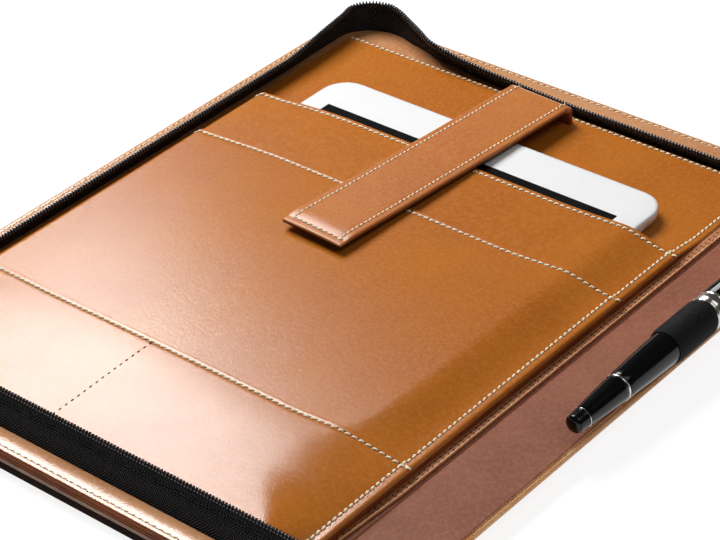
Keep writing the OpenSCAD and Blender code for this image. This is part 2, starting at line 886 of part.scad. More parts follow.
module pen_cartridge() {
    color("navy") pen_place() translate([0, 0, ring_at + 8]) cylinder(r = cartridge_r, h = 44, $fn = fine);
}

band_low = barrel_end + 0.1;
band_high = band_low + 7;
cap_in = section_r + 0.5;

module pen_cap_band() {
    color("silver") pen_place() rotate_extrude($fn = fine) polygon([
        [cap_in, band_low], [cap_r - 0.2, band_low], [cap_r + 0.1, band_low + 0.8],
        [cap_r + 0.1, band_high - 0.8], [cap_r, band_high], [cap_in, band_high]
    ]);
}

module pen_cap() {
    color(black) pen_place() rotate_extrude($fn = fine) polygon([
        [cap_in, band_high + 0.02], [cap_r, band_high + 0.02], [cap_r, 54], [cap_r - 0.6, cap_end - 4],
        [cap_r - 2.2, cap_end], [0, cap_end], [0, 64], [4.8, 60]
    ]);
}

module pen_clip() {
    up = cap_r + 1.3;
    color("silver") pen_place() {
        translate([-1.6, -up - 0.9, 30]) cube([3.2, 0.9, 42]);
        translate([-1.6, -up, 69]) cube([3.2, 1.65, 3]);
        translate([0, -up + 0.3, 32]) sphere(r = 0.9, $fn = fine);
    }
}

back_outer_leather();
back_board();
back_rim_band();
back_lining();
back_suede_margin();
margin_strip();
pocket_panel();
tablet_pocket();
middle_pocket();
low_pocket();
keeper_plate();
strap_anchor();
back_zip_tape();
back_zip_teeth();
back_zip_stops();
spine_outer_leather();
spine_board();
spine_lining();
pen_loop();
front_outer_leather();
front_board();
front_rim_band();
front_padding();
front_lining();
front_suede_margin();
document_pocket();
front_zip_tape();
front_zip_teeth();
front_zip_stops();
strap_leather();
strap_lining();
strap_magnet();
slider_body();
slider_bridge();
slider_pull();
tablet_housing();
tablet_bezel();
tablet_display();
tablet_battery();
tablet_logic_board();
tablet_speakers();
tablet_dock_socket();
tablet_camera();
home_button();
sleep_button();
volume_button();
side_switch();
pen_barrel();
pen_tail();
pen_rings();
pen_section();
pen_nib();
pen_cartridge();
pen_cap();
pen_cap_band();
pen_clip();
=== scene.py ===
"""Visual model of a zip-around leather organiser, opened with its front cover folded under.

Sizes are millimetres of the page frame: X = 0 on the pocket panel's right stitch line, Y = 0 on
its top stitch line and Z = 0 on the top of the back cover's rim. add_piece() turns them into
metres of the row frame.
"""

import json
import logging
import math
from collections.abc import Callable, Sequence
from dataclasses import dataclass, field, replace
from enum import Enum

import bmesh
import bpy
import numpy as np
from mathutils import Matrix, Vector


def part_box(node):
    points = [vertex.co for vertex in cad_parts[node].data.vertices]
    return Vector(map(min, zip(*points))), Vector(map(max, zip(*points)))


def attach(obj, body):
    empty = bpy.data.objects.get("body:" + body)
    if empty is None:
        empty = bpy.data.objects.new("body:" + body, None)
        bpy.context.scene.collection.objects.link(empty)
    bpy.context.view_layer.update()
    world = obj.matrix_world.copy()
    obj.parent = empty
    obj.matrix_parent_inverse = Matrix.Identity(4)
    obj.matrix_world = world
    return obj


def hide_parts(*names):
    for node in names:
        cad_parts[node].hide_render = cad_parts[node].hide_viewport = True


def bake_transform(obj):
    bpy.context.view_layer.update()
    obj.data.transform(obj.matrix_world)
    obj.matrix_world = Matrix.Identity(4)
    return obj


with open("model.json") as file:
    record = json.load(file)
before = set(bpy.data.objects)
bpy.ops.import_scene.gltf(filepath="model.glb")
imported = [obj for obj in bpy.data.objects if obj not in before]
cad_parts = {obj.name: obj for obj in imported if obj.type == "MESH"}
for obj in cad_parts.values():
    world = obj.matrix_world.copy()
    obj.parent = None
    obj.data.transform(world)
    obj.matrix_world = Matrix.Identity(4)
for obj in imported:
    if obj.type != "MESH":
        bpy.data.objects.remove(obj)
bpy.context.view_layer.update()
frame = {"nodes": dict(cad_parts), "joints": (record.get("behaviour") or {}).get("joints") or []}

LOG = logging.getLogger("organiser")
MM = 0.001
Array = np.ndarray
Outline = Callable[[float], Array]
Surface = Callable[[Array, Array], Array]


# ---------------------------------------------------------------- sizes


@dataclass(frozen=True)
class Page:
    """The covers and the pocket panel, in millimetres of the page frame."""

    left: float = -228.7
    high: float = 19.6
    low: float = -300.4
    corner: float = 20.0
    rim: float = 9.5
    under: float = -2.2
    leather: float = 1.1
    spine_face: float = -0.3
    panel_left: float = -213.0
    panel_right: float = 3.0
    panel_low: float = -286.5
    panel_high: float = 1.5
    panel_under: float = 0.5
    panel_face: float = 1.5
    pocket: float = 0.7
    layer: float = 0.75
    crown: float = 8.05
    front_rim: float = 4.3
    roll_clear: float = 2.7
    pad_start: float = 21.0


PAGE = Page()


def joint_place(name: str) -> Array:
    """Returns a joint's place in metres of the row frame."""
    return np.array(next(j["pos_m"] for j in frame["joints"] if j["name"] == name))


def page_origin() -> Array:
    """Returns the page frame's origin in metres of the row frame, from the panel's CAD box."""
    low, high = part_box("pocket_panel")
    return np.array([high.x - PAGE.panel_right * MM, high.y - PAGE.panel_high * MM,
                     low.z - PAGE.panel_under * MM])


ORIGIN = page_origin()
FOLD_A, _, FOLD_Z = (joint_place("spine_fold") - ORIGIN) / MM
FOLD_B = float((joint_place("cover_fold") - ORIGIN)[0] / MM)
SPINE_W = FOLD_B - FOLD_A


def row(points: Array) -> Array:
    """Returns page-frame points as metres of the row frame."""
    return np.asarray(points, float) * MM + ORIGIN


def folded_under(points: Array) -> Array:
    """Returns points of the back cover's layout where they lie on the folded-under front cover."""
    out = np.array(points, float)
    out[..., 0] += SPINE_W
    out[..., 2] = 2 * FOLD_Z - out[..., 2]
    return out


def ease(t: Array) -> Array:
    """Returns a smooth step of t between 0 and 1."""
    t = np.clip(t, 0, 1)
    return t * t * (3 - 2 * t)


class Curve:
    """A smooth curve through rows of (place, value, ...), without overshoot between them."""

    def __init__(self, rows: Sequence[Sequence[float]]) -> None:
        """Works out the slope at each row."""
        table = np.array(rows, float)
        self.x, self.y = table[:, 0], table[:, 1:]
        step = np.diff(self.x)[:, None]
        rate = np.diff(self.y, axis=0) / step
        a, b = rate[:-1], rate[1:]
        same = a * b > 0
        total = np.where(same, a + b, 1.0)
        inner = np.where(same, 2 * a * b / total, 0.0)
        self.slope = np.vstack([rate[:1], inner, rate[-1:]])

    def at(self, place: Array) -> Array:
        """Returns the values at a place, or at each of many places."""
        place = np.clip(np.asarray(place, float), self.x[0], self.x[-1])
        i = np.clip(np.searchsorted(self.x, place, side="right") - 1, 0, len(self.x) - 2)
        wide = (self.x[i + 1] - self.x[i])[..., None]
        t = (place - self.x[i])[..., None] / wide
        return ((1 + 2 * t) * (1 - t) ** 2 * self.y[i] + t * (1 - t) ** 2 * wide * self.slope[i]
                + t * t * (3 - 2 * t) * self.y[i + 1] + t * t * (t - 1) * wide * self.slope[i + 1])

    def value(self, place: Array) -> Array:
        """Returns the first value alone at a place or places."""
        return self.at(place)[..., 0]


# ---------------------------------------------------------------- finishes


class Shader:
    """A material's node tree and short ways to add to it."""

    def __init__(self, name: str) -> None:
        """Starts an empty material with one Principled shader."""
        self.material = bpy.data.materials.new(name)
        self.material.use_nodes = True
        self.tree = self.material.node_tree
        self.tree.nodes.clear()
        self.out = self.tree.nodes.new("ShaderNodeOutputMaterial")
        self.bsdf = self.tree.nodes.new("ShaderNodeBsdfPrincipled")
        self.join(self.bsdf.outputs[0], self.out.inputs["Surface"])

    def join(self, source: bpy.types.NodeSocket, target: bpy.types.NodeSocket) -> None:
        """Links two sockets."""
        self.tree.links.new(source, target)

    def add(self, kind: str, inputs: dict | None = None, **settings) -> bpy.types.Node:
        """Adds a node.

        Args:
            kind: the node's type.
            inputs: numbers, colours or sockets for its inputs, by name or index.
            settings: properties of the node itself.
        Returns:
            The node.
        """
        node = self.tree.nodes.new(kind)
        for key, value in settings.items():
            setattr(node, key, value)
        for key, value in (inputs or {}).items():
            if isinstance(value, bpy.types.NodeSocket):
                self.join(value, node.inputs[key])
            else:
                node.inputs[key].default_value = value
        return node

    def coords(self, scale: Sequence[float] = (1, 1, 1), turn: float = 0.0,
               source: str = "Object") -> bpy.types.NodeSocket:
        """Returns a vector socket of scaled and turned coordinates."""
        where = self.add("ShaderNodeTexCoord").outputs[source]
        return self.add("ShaderNodeMapping", {"Vector": where, "Scale": tuple(scale),
                                              "Rotation": (0, 0, turn)}).outputs[0]

    def noise(self, where: bpy.types.NodeSocket, scale: float, detail: float = 3.0,
              rough: float = 0.5) -> bpy.types.NodeSocket:
        """Returns a noise value."""
        return self.add("ShaderNodeTexNoise", {"Vector": where, "Scale": scale, "Detail": detail,
                                               "Roughness": rough}).outputs[0]

    def math(self, kind: str, a: object, b: object = 0.0) -> bpy.types.NodeSocket:
        """Returns the result of a Math node."""
        return self.add("ShaderNodeMath", {0: a, 1: b}, operation=kind).outputs[0]

    def total(self, *parts: tuple[bpy.types.NodeSocket, float]) -> bpy.types.NodeSocket:
        """Returns the sum of values, each times its weight."""
        weighed = [self.math("MULTIPLY", value, weight) for value, weight in parts]
        whole = weighed[0]
        for part in weighed[1:]:
            whole = self.math("ADD", whole, part)
        return whole

    def span(self, value: bpy.types.NodeSocket, low: float, high: float, to_low: float,
             to_high: float) -> bpy.types.NodeSocket:
        """Returns a value moved from one range to another."""
        return self.add("ShaderNodeMapRange", {"Value": value, 1: low, 2: high, 3: to_low,
                                               4: to_high}).outputs[0]

    def mix(self, factor: object, a: object, b: object) -> bpy.types.NodeSocket:
        """Returns a mix of two colours."""
        return self.add("ShaderNodeMix", {0: factor, 6: a, 7: b}, data_type="RGBA").outputs[2]

    def bump(self, height: bpy.types.NodeSocket, depth_mm: float) -> bpy.types.NodeSocket:
        """Returns a bumped normal."""
        return self.add("ShaderNodeBump", {"Height": height, "Strength": 1.0,
                                           "Distance": depth_mm * MM}).outputs[0]

    def finish(self, colour: object, rough: object, normal: bpy.types.NodeSocket | None = None,
               **settings) -> bpy.types.Material:
        """Sets the Principled shader's colour, roughness, normal and fixed values."""
        for key, value in (("Base Color", colour), ("Roughness", rough), ("Normal", normal)):
            if isinstance(value, bpy.types.NodeSocket):
                self.join(value, self.bsdf.inputs[key])
            elif value is not None:
                self.bsdf.inputs[key].default_value = value
        for key, value in settings.items():
            self.bsdf.inputs[key.replace("_", " ")].default_value = value
        return self.material


def srgb(r: float, g: float, b: float) -> tuple[float, float, float, float]:
    """Returns a linear colour from sRGB numbers of 0 to 255."""
    def line(c: float) -> float:
        """Returns one channel's linear value."""
        c /= 255
        return c / 12.92 if c <= 0.04045 else ((c + 0.055) / 1.055) ** 2.4
    return line(r), line(g), line(b), 1.0


@dataclass(frozen=True)
class LeatherFinish:
    """A leather: its colours, how it shines and how deep its grain is.

    The cell, fleck, crease and cloud sizes are counts to the metre.
    """

    name: str
    base: tuple
    dark: tuple
    light: tuple
    rough: float = 0.19
    grain_mm: float = 0.055
    cell: float = 1250.0
    streak: tuple = (1.0, 1.0, 1.0)
    specular: float = 0.5
    cloud: float = 22.0
    crease: float = 150.0
    fleck: float = 620.0

    def make(self) -> bpy.types.Material:
        """Returns the leather's material."""
        s = Shader(self.name)
        flat = s.coords()
        drawn = s.coords(self.streak)
        cloud = s.noise(drawn, self.cloud, 4, 0.55)
        fleck = s.noise(flat, self.fleck, 4, 0.65)
        pores = s.add("ShaderNodeTexVoronoi", {"Vector": flat, "Scale": self.cell},
                      feature="SMOOTH_F1").outputs[0]
        creases = s.noise(drawn, self.crease, 6, 0.7)
        colour = s.mix(s.span(cloud, 0.35, 0.7, 0, 1), srgb(*self.base), srgb(*self.dark))
        colour = s.mix(s.span(fleck, 0.42, 0.75, 0, 0.55), colour, srgb(*self.light))
        colour = s.mix(s.span(pores, 0.0, 0.35, 0.35, 0), colour, srgb(*self.dark))
        wear = s.total((cloud, 0.4), (fleck, 0.6))
        rough = s.span(wear, 0.3, 0.7, self.rough - 0.05, self.rough + 0.07)
        height = s.total((pores, 0.7), (fleck, 0.6), (creases, 0.35))
        return s.finish(colour, rough, s.bump(height, self.grain_mm),
                        Specular_IOR_Level=self.specular)


@dataclass(frozen=True)
class EdgeFinish:
    """A cut and polished leather edge, streaked along its length."""

    name: str
    base: tuple
    dark: tuple
    rough: float = 0.34
    specular: float = 0.3

    def make(self) -> bpy.types.Material:
        """Returns the edge's material."""
        s = Shader(self.name)
        fibres = s.noise(s.coords((0.25, 0.25, 3.0)), 700, 5, 0.65)
        blot = s.noise(s.coords(), 120, 3)
        streaks = s.span(s.math("ADD", fibres, blot), 0.75, 1.25, 0, 1)
        colour = s.mix(streaks, srgb(*self.base), srgb(*self.dark))
        return s.finish(colour, s.span(fibres, 0.3, 0.7, self.rough, self.rough + 0.12),
                        s.bump(fibres, 0.05), Specular_IOR_Level=self.specular)


@dataclass(frozen=True)
class ThreadFinish:
    """A waxed sewing thread with its twist."""

    name: str
    base: tuple
    dark: tuple

    def make(self) -> bpy.types.Material:
        """Returns the thread's material."""
        s = Shader(self.name)
        ply = s.add("ShaderNodeTexWave", {"Vector": s.coords(turn=0.8), "Scale": 520.0,
                                          "Distortion": 1.2, "Detail": 2.0}).outputs[1]
        fuzz = s.noise(s.coords(), 1800, 2)
        colour = s.mix(s.span(ply, 0.2, 0.8, 0.25, 0.0), srgb(*self.base), srgb(*self.dark))
        return s.finish(colour, s.span(fuzz, 0.3, 0.7, 0.55, 0.8), s.bump(ply, 0.02),
                        Specular_IOR_Level=0.2)


@dataclass(frozen=True)
class WovenFinish:
    """A woven tape with herringbone ribs, which follows the piece's own UV map in metres."""

    name: str
    base: tuple
    light: tuple
    rib_mm: float = 1.35
    column_mm: float = 3.6

    def make(self) -> bpy.types.Material:
        """Returns the tape's material."""
        s = Shader(self.name)
        parts = s.add("ShaderNodeSeparateXYZ", {0: s.coords(source="UV")})
        along, up = parts.outputs[0], parts.outputs[1]
        zig = s.math("PINGPONG", up, self.column_mm * MM)
        turn = 2 * math.pi / (self.rib_mm * MM)
        ribs = s.math("SINE", s.math("MULTIPLY", s.math("ADD", along, zig), turn))
        ribs = s.span(ribs, -1, 1, 0, 1)
        weft = s.math("SINE", s.math("MULTIPLY", up, turn * 1.9))
        yarn = s.noise(s.coords(), 2600, 2)
        height = s.math("ADD", ribs, s.math("MULTIPLY", s.math("ADD", weft, yarn), 0.18))
        # The ribs' crests take the light grey: a painted sheen on a weave that is near black.
        thread = s.span(ribs, 0.6, 0.98, 0, 1)
        colour = s.mix(thread, srgb(*self.base), srgb(*self.light))
        return s.finish(colour, s.span(yarn, 0.3, 0.7, 0.55, 0.7), s.bump(height, 0.22),
                        Specular_IOR_Level=0.12)


@dataclass(frozen=True)
class SmoothFinish:
    """A hard smooth finish, such as glass, enamel, resin or metal, with fine wear."""

    name: str
    base: tuple
    dark: tuple
    rough: float
    metal: float = 0.0
    grain: tuple = (1.0, 1.0, 1.0)
    scale: float = 300.0
    depth_mm: float = 0.004
    coat: float = 0.0
    specular: float = 0.5

    def make(self) -> bpy.types.Material:
        """Returns the finish's material."""
        s = Shader(self.name)
        marks = s.noise(s.coords(self.grain), self.scale, 4, 0.6)
        smear = s.noise(s.coords(), 35, 3)
        colour = s.mix(s.span(marks, 0.4, 0.75, 0, 0.5), srgb(*self.base), srgb(*self.dark))
        worn = self.rough * 1.35 + 0.02
        rough = s.span(s.math("ADD", marks, smear), 0.7, 1.3, self.rough, worn)
        return s.finish(colour, rough, s.bump(marks, self.depth_mm), Metallic=self.metal,
                        Specular_IOR_Level=self.specular, Coat_Weight=self.coat,
                        Coat_Roughness=0.04)


@dataclass(frozen=True)
class FibreFinish:
    """Board, foam or wrapped cells: a dull stuff of fibres or bubbles."""

    name: str
    base: tuple
    dark: tuple
    rough: float = 0.85
    cell: float = 900.0

    def make(self) -> bpy.types.Material:
        """Returns the stuff's material."""
        s = Shader(self.name)
        cells = s.add("ShaderNodeTexVoronoi", {"Vector": s.coords((1, 1, 2.5)),
                                               "Scale": self.cell}).outputs[0]
        colour = s.mix(s.span(cells, 0.1, 0.6, 0, 1), srgb(*self.dark), srgb(*self.base))
        return s.finish(colour, self.rough, s.bump(cells, 0.12), Specular_IOR_Level=0.2)


class Finish(Enum):
    """Every finish on the organiser, with its colours as sRGB numbers."""

    TAN = LeatherFinish("tan_leather", (189, 110, 32), (177, 97, 25), (205, 131, 55),
                        grain_mm=0.045, cell=2200.0, specular=0.55)
    STRAP = LeatherFinish("strap_leather", (194, 116, 52), (180, 100, 40), (208, 138, 78),
                          rough=0.3)
    RIM = LeatherFinish("rim_leather", (210, 152, 106), (192, 128, 80), (228, 178, 136), rough=0.2,
                        specular=0.75)
    PALE = LeatherFinish("pale_leather", (203, 140, 88), (172, 104, 55), (222, 168, 118),
                         rough=0.5, streak=(1.0, 0.12, 1.0), grain_mm=0.08)
    BROWN = LeatherFinish("brown_leather", (190, 120, 72), (150, 86, 46), (212, 148, 98),
                          rough=0.48, grain_mm=0.09)
    # BACKING is the strap lining's brown, made darker than the strap leather as painted shade to
    # deepen the shadow under the strap.
    BACKING = LeatherFinish("backing_leather", (104, 60, 34), (76, 42, 22), (132, 84, 54),
                            rough=0.5, grain_mm=0.09)
    MAUVE = LeatherFinish("mauve_leather", (152, 92, 68), (130, 74, 52), (172, 116, 88),
                          rough=0.55, specular=0.2, grain_mm=0.09, cell=1000.0)
    OUTER = LeatherFinish("outer_leather", (182, 104, 44), (150, 80, 30), (198, 128, 66),
                          rough=0.44, grain_mm=0.09, cell=900.0)
    EDGE = EdgeFinish("burnished_edge", (150, 78, 30), (112, 54, 18), 0.45, 0.15)
    # LIP is a painted highlight: a pale line along the ledge where the front rim's dark band
    # starts.
    LIP = EdgeFinish("painted_highlight_lip", (206, 176, 156), (170, 132, 108), rough=0.3)
    # SHADE is painted shade: near-black brown for edges that lie in shadow, that is the front
    # rim's band past its ledge and the strap lining's edge.
    SHADE = EdgeFinish("dark_edge", (44, 22, 12), (22, 10, 5), 0.7, 0.06)
    # The pale cut-edge finish is brighter than the leather's cut edges, as a painted highlight, so
    # that the edges and the right fold read as pale lines even where they face away from the
    # light.
    CUT_HIGHLIGHT = EdgeFinish("cut_edge_painted_highlight", (255, 202, 146), (240, 164, 110), rough=0.5)
    MOUTH = EdgeFinish("mouth_edge", (150, 78, 28), (112, 56, 20))
    CREAM = ThreadFinish("cream_thread", (255, 244, 214), (240, 214, 166))
    # HOLE paints the shade in the needle holes as dark brown spots.
    HOLE = ThreadFinish("needle_hole", (92, 46, 16), (60, 28, 8))
    DARK = ThreadFinish("dark_thread", (72, 40, 22), (40, 22, 12))
    BLACK = ThreadFinish("black_thread", (34, 34, 36), (12, 12, 13))
    # TAPE's light grey is a painted sheen on the ribs of a black tape.
    TAPE = WovenFinish("black_tape", (4, 4, 5), (78, 81, 86))
    TEETH = SmoothFinish("black_teeth", (94, 96, 100), (48, 48, 52), 0.2, 0.9)
    CORD = SmoothFinish("zip_cord", (8, 8, 9), (16, 16, 17), 0.5)
    ENAMEL = SmoothFinish("black_enamel", (26, 26, 28), (54, 54, 58), 0.28, coat=0.5)
    ELASTIC = FibreFinish("ribbed_elastic", (13, 13, 15), (3, 3, 4), 0.6, 2600.0)
    RESIN = SmoothFinish("black_resin", (5, 5, 6), (9, 9, 10), 0.09, scale=80.0, depth_mm=0.001,
                         specular=0.3)
    SILVER = SmoothFinish("polished_silver", (214, 210, 202), (150, 146, 140), 0.16, 1.0)
    STEEL = SmoothFinish("plated_steel", (176, 176, 180), (130, 130, 134), 0.3, 1.0, (1, 12, 1))
    NIB = SmoothFinish("nib_steel", (200, 198, 190), (140, 138, 132), 0.22, 1.0)
    CASE = SmoothFinish("blasted_case", (232, 233, 235), (214, 216, 218), 0.34, 0.3, scale=2400.0,
                        depth_mm=0.01)
    GLASS = SmoothFinish("white_glass", (252, 252, 252), (247, 247, 248), 0.12, scale=60.0,
                         depth_mm=0.001, coat=0.5)
    SCREEN = SmoothFinish("dark_screen", (8, 8, 10), (13, 13, 15), 0.1, scale=60.0, depth_mm=0.001,
                          coat=0.5)
    LENS = SmoothFinish("camera_lens", (8, 9, 16), (20, 22, 36), 0.06, coat=1.0)
    BOARD = FibreFinish("stiffener_board", (150, 126, 96), (112, 92, 68))
    FOAM = FibreFinish("padding_foam", (84, 82, 80), (48, 47, 46), 0.9, 1500.0)
    CELLS = FibreFinish("wrapped_cells", (92, 92, 96), (58, 58, 62), 0.5, 300.0)
    CIRCUIT = FibreFinish("solder_mask", (34, 96, 58), (18, 60, 36), 0.4, 500.0)
    PLASTIC = FibreFinish("moulded_plastic", (70, 70, 74), (44, 44, 47), 0.5, 2200.0)
    INK = SmoothFinish("ink_cartridge", (20, 26, 86), (12, 16, 60), 0.2)


class Palette:
    """Makes each finish's material once."""

    made: dict[str, bpy.types.Material] = {}

    @classmethod
    def get(cls, finish: Finish) -> bpy.types.Material:
        """Returns a finish's material."""
        if finish.name not in cls.made:
            cls.made[finish.name] = finish.value.make()
        return cls.made[finish.name]


# ---------------------------------------------------------------- meshes


@dataclass
class Shape:
    """Points in the page frame, faces, a finish number for each face, and UVs in metres."""

    points: Array
    faces: list
    marks: list = field(default_factory=list)
    uv: Array | None = None

    def joined(self, other: "Shape") -> "Shape":
        """Returns this shape and another as one."""
        start = len(self.points)
        marks = (self.marks or [0] * len(self.faces)) + (other.marks or [0] * len(other.faces))
        return Shape(np.vstack([self.points, other.points]),
                     self.faces + [[i + start for i in f] for f in other.faces], marks)


def loft(loops: Array, ring: bool = False) -> Shape:
    """Joins closed loops of one length into a solid.

    Args:
        loops: the loops' points, as [loop, point, xyz].
        ring: whether the last loop meets the first; otherwise both ends are capped.
    Returns:
        The shape.
    """
    loops = np.asarray(loops, float)
    m, n = loops.shape[:2]
    faces = []
    for k in range(m if ring else m - 1):
        a, b = k * n, (k + 1) % m * n
        faces += [[a + i, a + (i + 1) % n, b + (i + 1) % n, b + i] for i in range(n)]
    if not ring:
        faces += [list(range(n))[::-1], [(m - 1) * n + i for i in range(n)]]
    return Shape(loops.reshape(-1, 3), faces)


def face_outwards(mesh: bpy.types.Mesh) -> None:
    """Turns a closed mesh's faces round where they point inwards."""
    form = bmesh.new()
    form.from_mesh(mesh)
    if form.calc_volume(signed=True) < 0:
        bmesh.ops.reverse_faces(form, faces=form.faces[:])
    form.to_mesh(mesh)
    form.free()


def enter(name: str, mesh: bpy.types.Mesh, body: str, slot: str,
          stands_for: Sequence[str]) -> bpy.types.Object:
    """Puts a finished mesh in the scene as a piece; body "" leaves it riding on no body."""
    piece = bpy.data.objects.new(name, mesh)
    bpy.context.scene.collection.objects.link(piece)
    if stands_for:
        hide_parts(*stands_for)
    if body:
        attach(piece, body)
    LOG.info("%s: %d faces, %s", name, len(mesh.polygons), body or "blended")
    return piece


def add_piece(name: str, shape: Shape, body: str, slot: str, finishes: Sequence[Finish],
              stands_for: Sequence[str] = (), crease: float = 50.0) -> bpy.types.Object:
    """Makes a mesh object of a shape, dresses it and, where a body is named, rides it on that.

    Args:
        name: the piece's name.
        shape: its shape in the page frame.
        body: the CAD body it rides on, or "" for a piece that rides on none.
        slot: the record's material slot; not used.
        finishes: its finishes, in the order of the shape's marks.
        stands_for: the CAD nodes that it replaces.
        crease: edges sharper than this many degrees stay sharp.
    Returns:
        The object.
    """
    mesh = bpy.data.meshes.new(name)
    mesh.from_pydata([tuple(p) for p in row(shape.points)], [], shape.faces)
    if shape.marks:
        mesh.polygons.foreach_set("material_index", shape.marks)
    face_outwards(mesh)
    if shape.uv is not None:
        layer = mesh.uv_layers.new(name="UVMap")
        index = np.zeros(len(mesh.loops), int)
        mesh.loops.foreach_get("vertex_index", index)
        layer.data.foreach_set("uv", shape.uv[index].astype(np.float32).ravel())
    mesh.shade_smooth()
    mesh.set_sharp_from_angle(angle=math.radians(crease))
    for finish in finishes:
        mesh.materials.append(Palette.get(finish))
    return enter(name, mesh, body, slot, stands_for)


def around(sides: int, shift: float = 0.0) -> Array:
    """Returns angles spaced evenly round a circle, shifted by a share of one step."""
    return (np.arange(sides) + shift) * 2 * math.pi / sides


def edge_drop(distance: Array, radius: float) -> Array:
    """Returns how far a rounded edge falls at a distance from its border."""
    if radius <= 0:
        return np.zeros_like(distance)
    inside = np.clip(radius - distance, 0, radius)
    return radius - np.sqrt(np.maximum(radius * radius - inside * inside, 0))


NEAR = (0.0, 0.06, 0.16, 0.32, 0.55, 0.85, 1.2, 1.7, 2.2, 2.7, 3.2, 3.7, 4.3, 5.2, 6.5, 8.3)


def spread(start: float, end: float, step: float) -> Array:
    """Returns places from start to end, close together near both and step apart between."""
    near = np.array([d for d in NEAR if d < (end - start) / 2.2])
    count = max(2, int(round((end - start - 2 * near[-1]) / step)) + 1)
    middle = np.linspace(start + near[-1], end - near[-1], count)
    return np.concatenate([start + near[:-1], middle, (end - near[:-1])[::-1]])


@dataclass
class Patch:
    """A sheet of leather between two long borders, with rounded and dressed edges."""

    x0: float
    x1: float
    low: Callable[[Array], Array]
    high: Callable[[Array], Array]
    top: Surface
    bottom: Surface
    round_top: tuple[float, float, float, float] = (0.3, 0.3, 0.3, 0.3)
    round_under: float = 0.12
    step: float = 3.0
    extra: Sequence[float] = ()

    def shape(self) -> Shape:
        """Returns the sheet's closed shape; its walls carry mark 1.

        round_top holds the radii of the upper edge at x0, at x1, at low and at high.
        """
        xs = np.unique(np.concatenate([spread(self.x0, self.x1, self.step),
                                       np.asarray(self.extra, float)]))
        low, high = self.low(xs), self.high(xs)
        reach = float(np.mean(high - low))
        v = (spread(0, reach, self.step) / reach)[:, None]
        x = np.broadcast_to(xs, (len(v), len(xs)))
        y = low + (high - low) * v
        ends = (x - self.x0, self.x1 - x, y - low, high - y)
        drop = np.maximum.reduce([edge_drop(d, r) for d, r in zip(ends, self.round_top)])
        lift = np.maximum.reduce([edge_drop(d, self.round_under) for d in ends])
        upper, lower = self.top(x, y) - drop, self.bottom(x, y)
        lower = np.minimum(lower + lift, upper - 0.02)
        m, n = x.shape
        points = np.concatenate([np.stack([x, y, z], -1).reshape(-1, 3) for z in (upper, lower)])
        faces, marks, half = [], [], m * n
        for j in range(m - 1):
            for i in range(n - 1):
                a = j * n + i
                faces.append([a, a + 1, a + n + 1, a + n])
                faces.append([half + a, half + a + n, half + a + n + 1, half + a + 1])
                marks += [0, 0]
        border = (list(range(n)) + [j * n + n - 1 for j in range(1, m)]
                  + [(m - 1) * n + i for i in range(n - 2, -1, -1)]
                  + [j * n for j in range(m - 2, 0, -1)])
        for a, b in zip(border, border[1:] + border[:1]):
            faces.append([a, half + a, half + b, b])
            marks.append(1)
        return Shape(points, faces, marks)


def level(value: float) -> Callable[..., Array]:
    """Returns a border or a surface at one value everywhere."""
    return lambda x, *rest: np.full_like(np.asarray(x, float), value)


def turned(shape: Shape, place: Callable[[Array], Array]) -> Shape:
    """Returns a shape with its points moved by place."""
    return Shape(place(shape.points), shape.faces, shape.marks, shape.uv)


def cover_line(inset: float, x_end: float) -> Array:
    """Returns the cover's three free sides as points [x, y], set in by inset.

    Every inset gives the same number of points, which lie across from each other.
    """
    r = PAGE.corner - inset
    cx = PAGE.left + PAGE.corner
    y_low, y_high = PAGE.low + PAGE.corner, PAGE.high - PAGE.corner
    runs = [np.stack([np.linspace(x_end, cx, 44), np.full(44, PAGE.low + inset)], 1)]
    for centre, first in ((y_low, 270), (y_high, 180)):
        angles = np.radians(np.linspace(first, first - 90, 15)[1:-1])
        runs.append(np.stack([cx + r * np.cos(angles), centre + r * np.sin(angles)], 1))
        if first == 270:
            side = np.linspace(y_low, y_high, 56)
            runs.append(np.stack([np.full_like(side, PAGE.left + inset), side], 1))
    runs.append(np.stack([np.linspace(cx, x_end, 44), np.full(44, PAGE.high - inset)], 1))
    return np.concatenate(runs)


def rounded_rect(cx: float, cy: float, w: float, h: float, r: float) -> Outline:
    """Returns an outline function of a rounded rectangle, by inset."""
    def outline(inset: float) -> Array:
        """Returns the outline's points, set in by inset."""
        radius = max(r - inset, 0.05)
        points = []
        for k, (sx, sy) in enumerate(((1, 1), (-1, 1), (-1, -1), (1, -1))):
            angles = np.radians(np.linspace(90 * k, 90 * k + 90, 13))
            points.append(np.stack([cx + sx * (w / 2 - r) + radius * np.cos(angles),
                                    cy + sy * (h / 2 - r) + radius * np.sin(angles)], 1))
        return np.concatenate(points)
    return outline


def stacked(outline: Outline, profile: Sequence[tuple[float, float]]) -> Shape:
    """Lofts an outline through (inset, height) steps."""
    return loft([at_height(outline(inset), z) for inset, z in profile])


def rounded_profile(z0: float, z1: float, r0: float, r1: float) -> list[tuple[float, float]]:
    """Returns (inset, height) steps of a sheet with rounded lower and upper edges."""
    low = [(r0 * (1 - math.sin(a)), z0 + r0 * (1 - math.cos(a)))
           for a in np.linspace(0, math.pi / 2, 5)]
    high = [(r1 * (1 - math.cos(a)), z1 - r1 * (1 - math.sin(a)))
            for a in np.linspace(0, math.pi / 2, 5)]
    return low + high


def at_height(line: Array, z: float) -> Array:
    """Returns the points [x, y] of a flat line at a height, as [x, y, z]."""
    return np.insert(line, 2, z, axis=1)


def band(outer: float, inner: float, x_end: float,
         section: Sequence[tuple[float, float]]) -> Shape:
    """Sweeps a section of (share across, height) round a cover's free sides."""
    lines = [cover_line(outer + (inner - outer) * w, x_end) for w, _ in section]
    return loft(np.stack([at_height(line, z) for line, (_, z) in zip(lines, section)], 1))


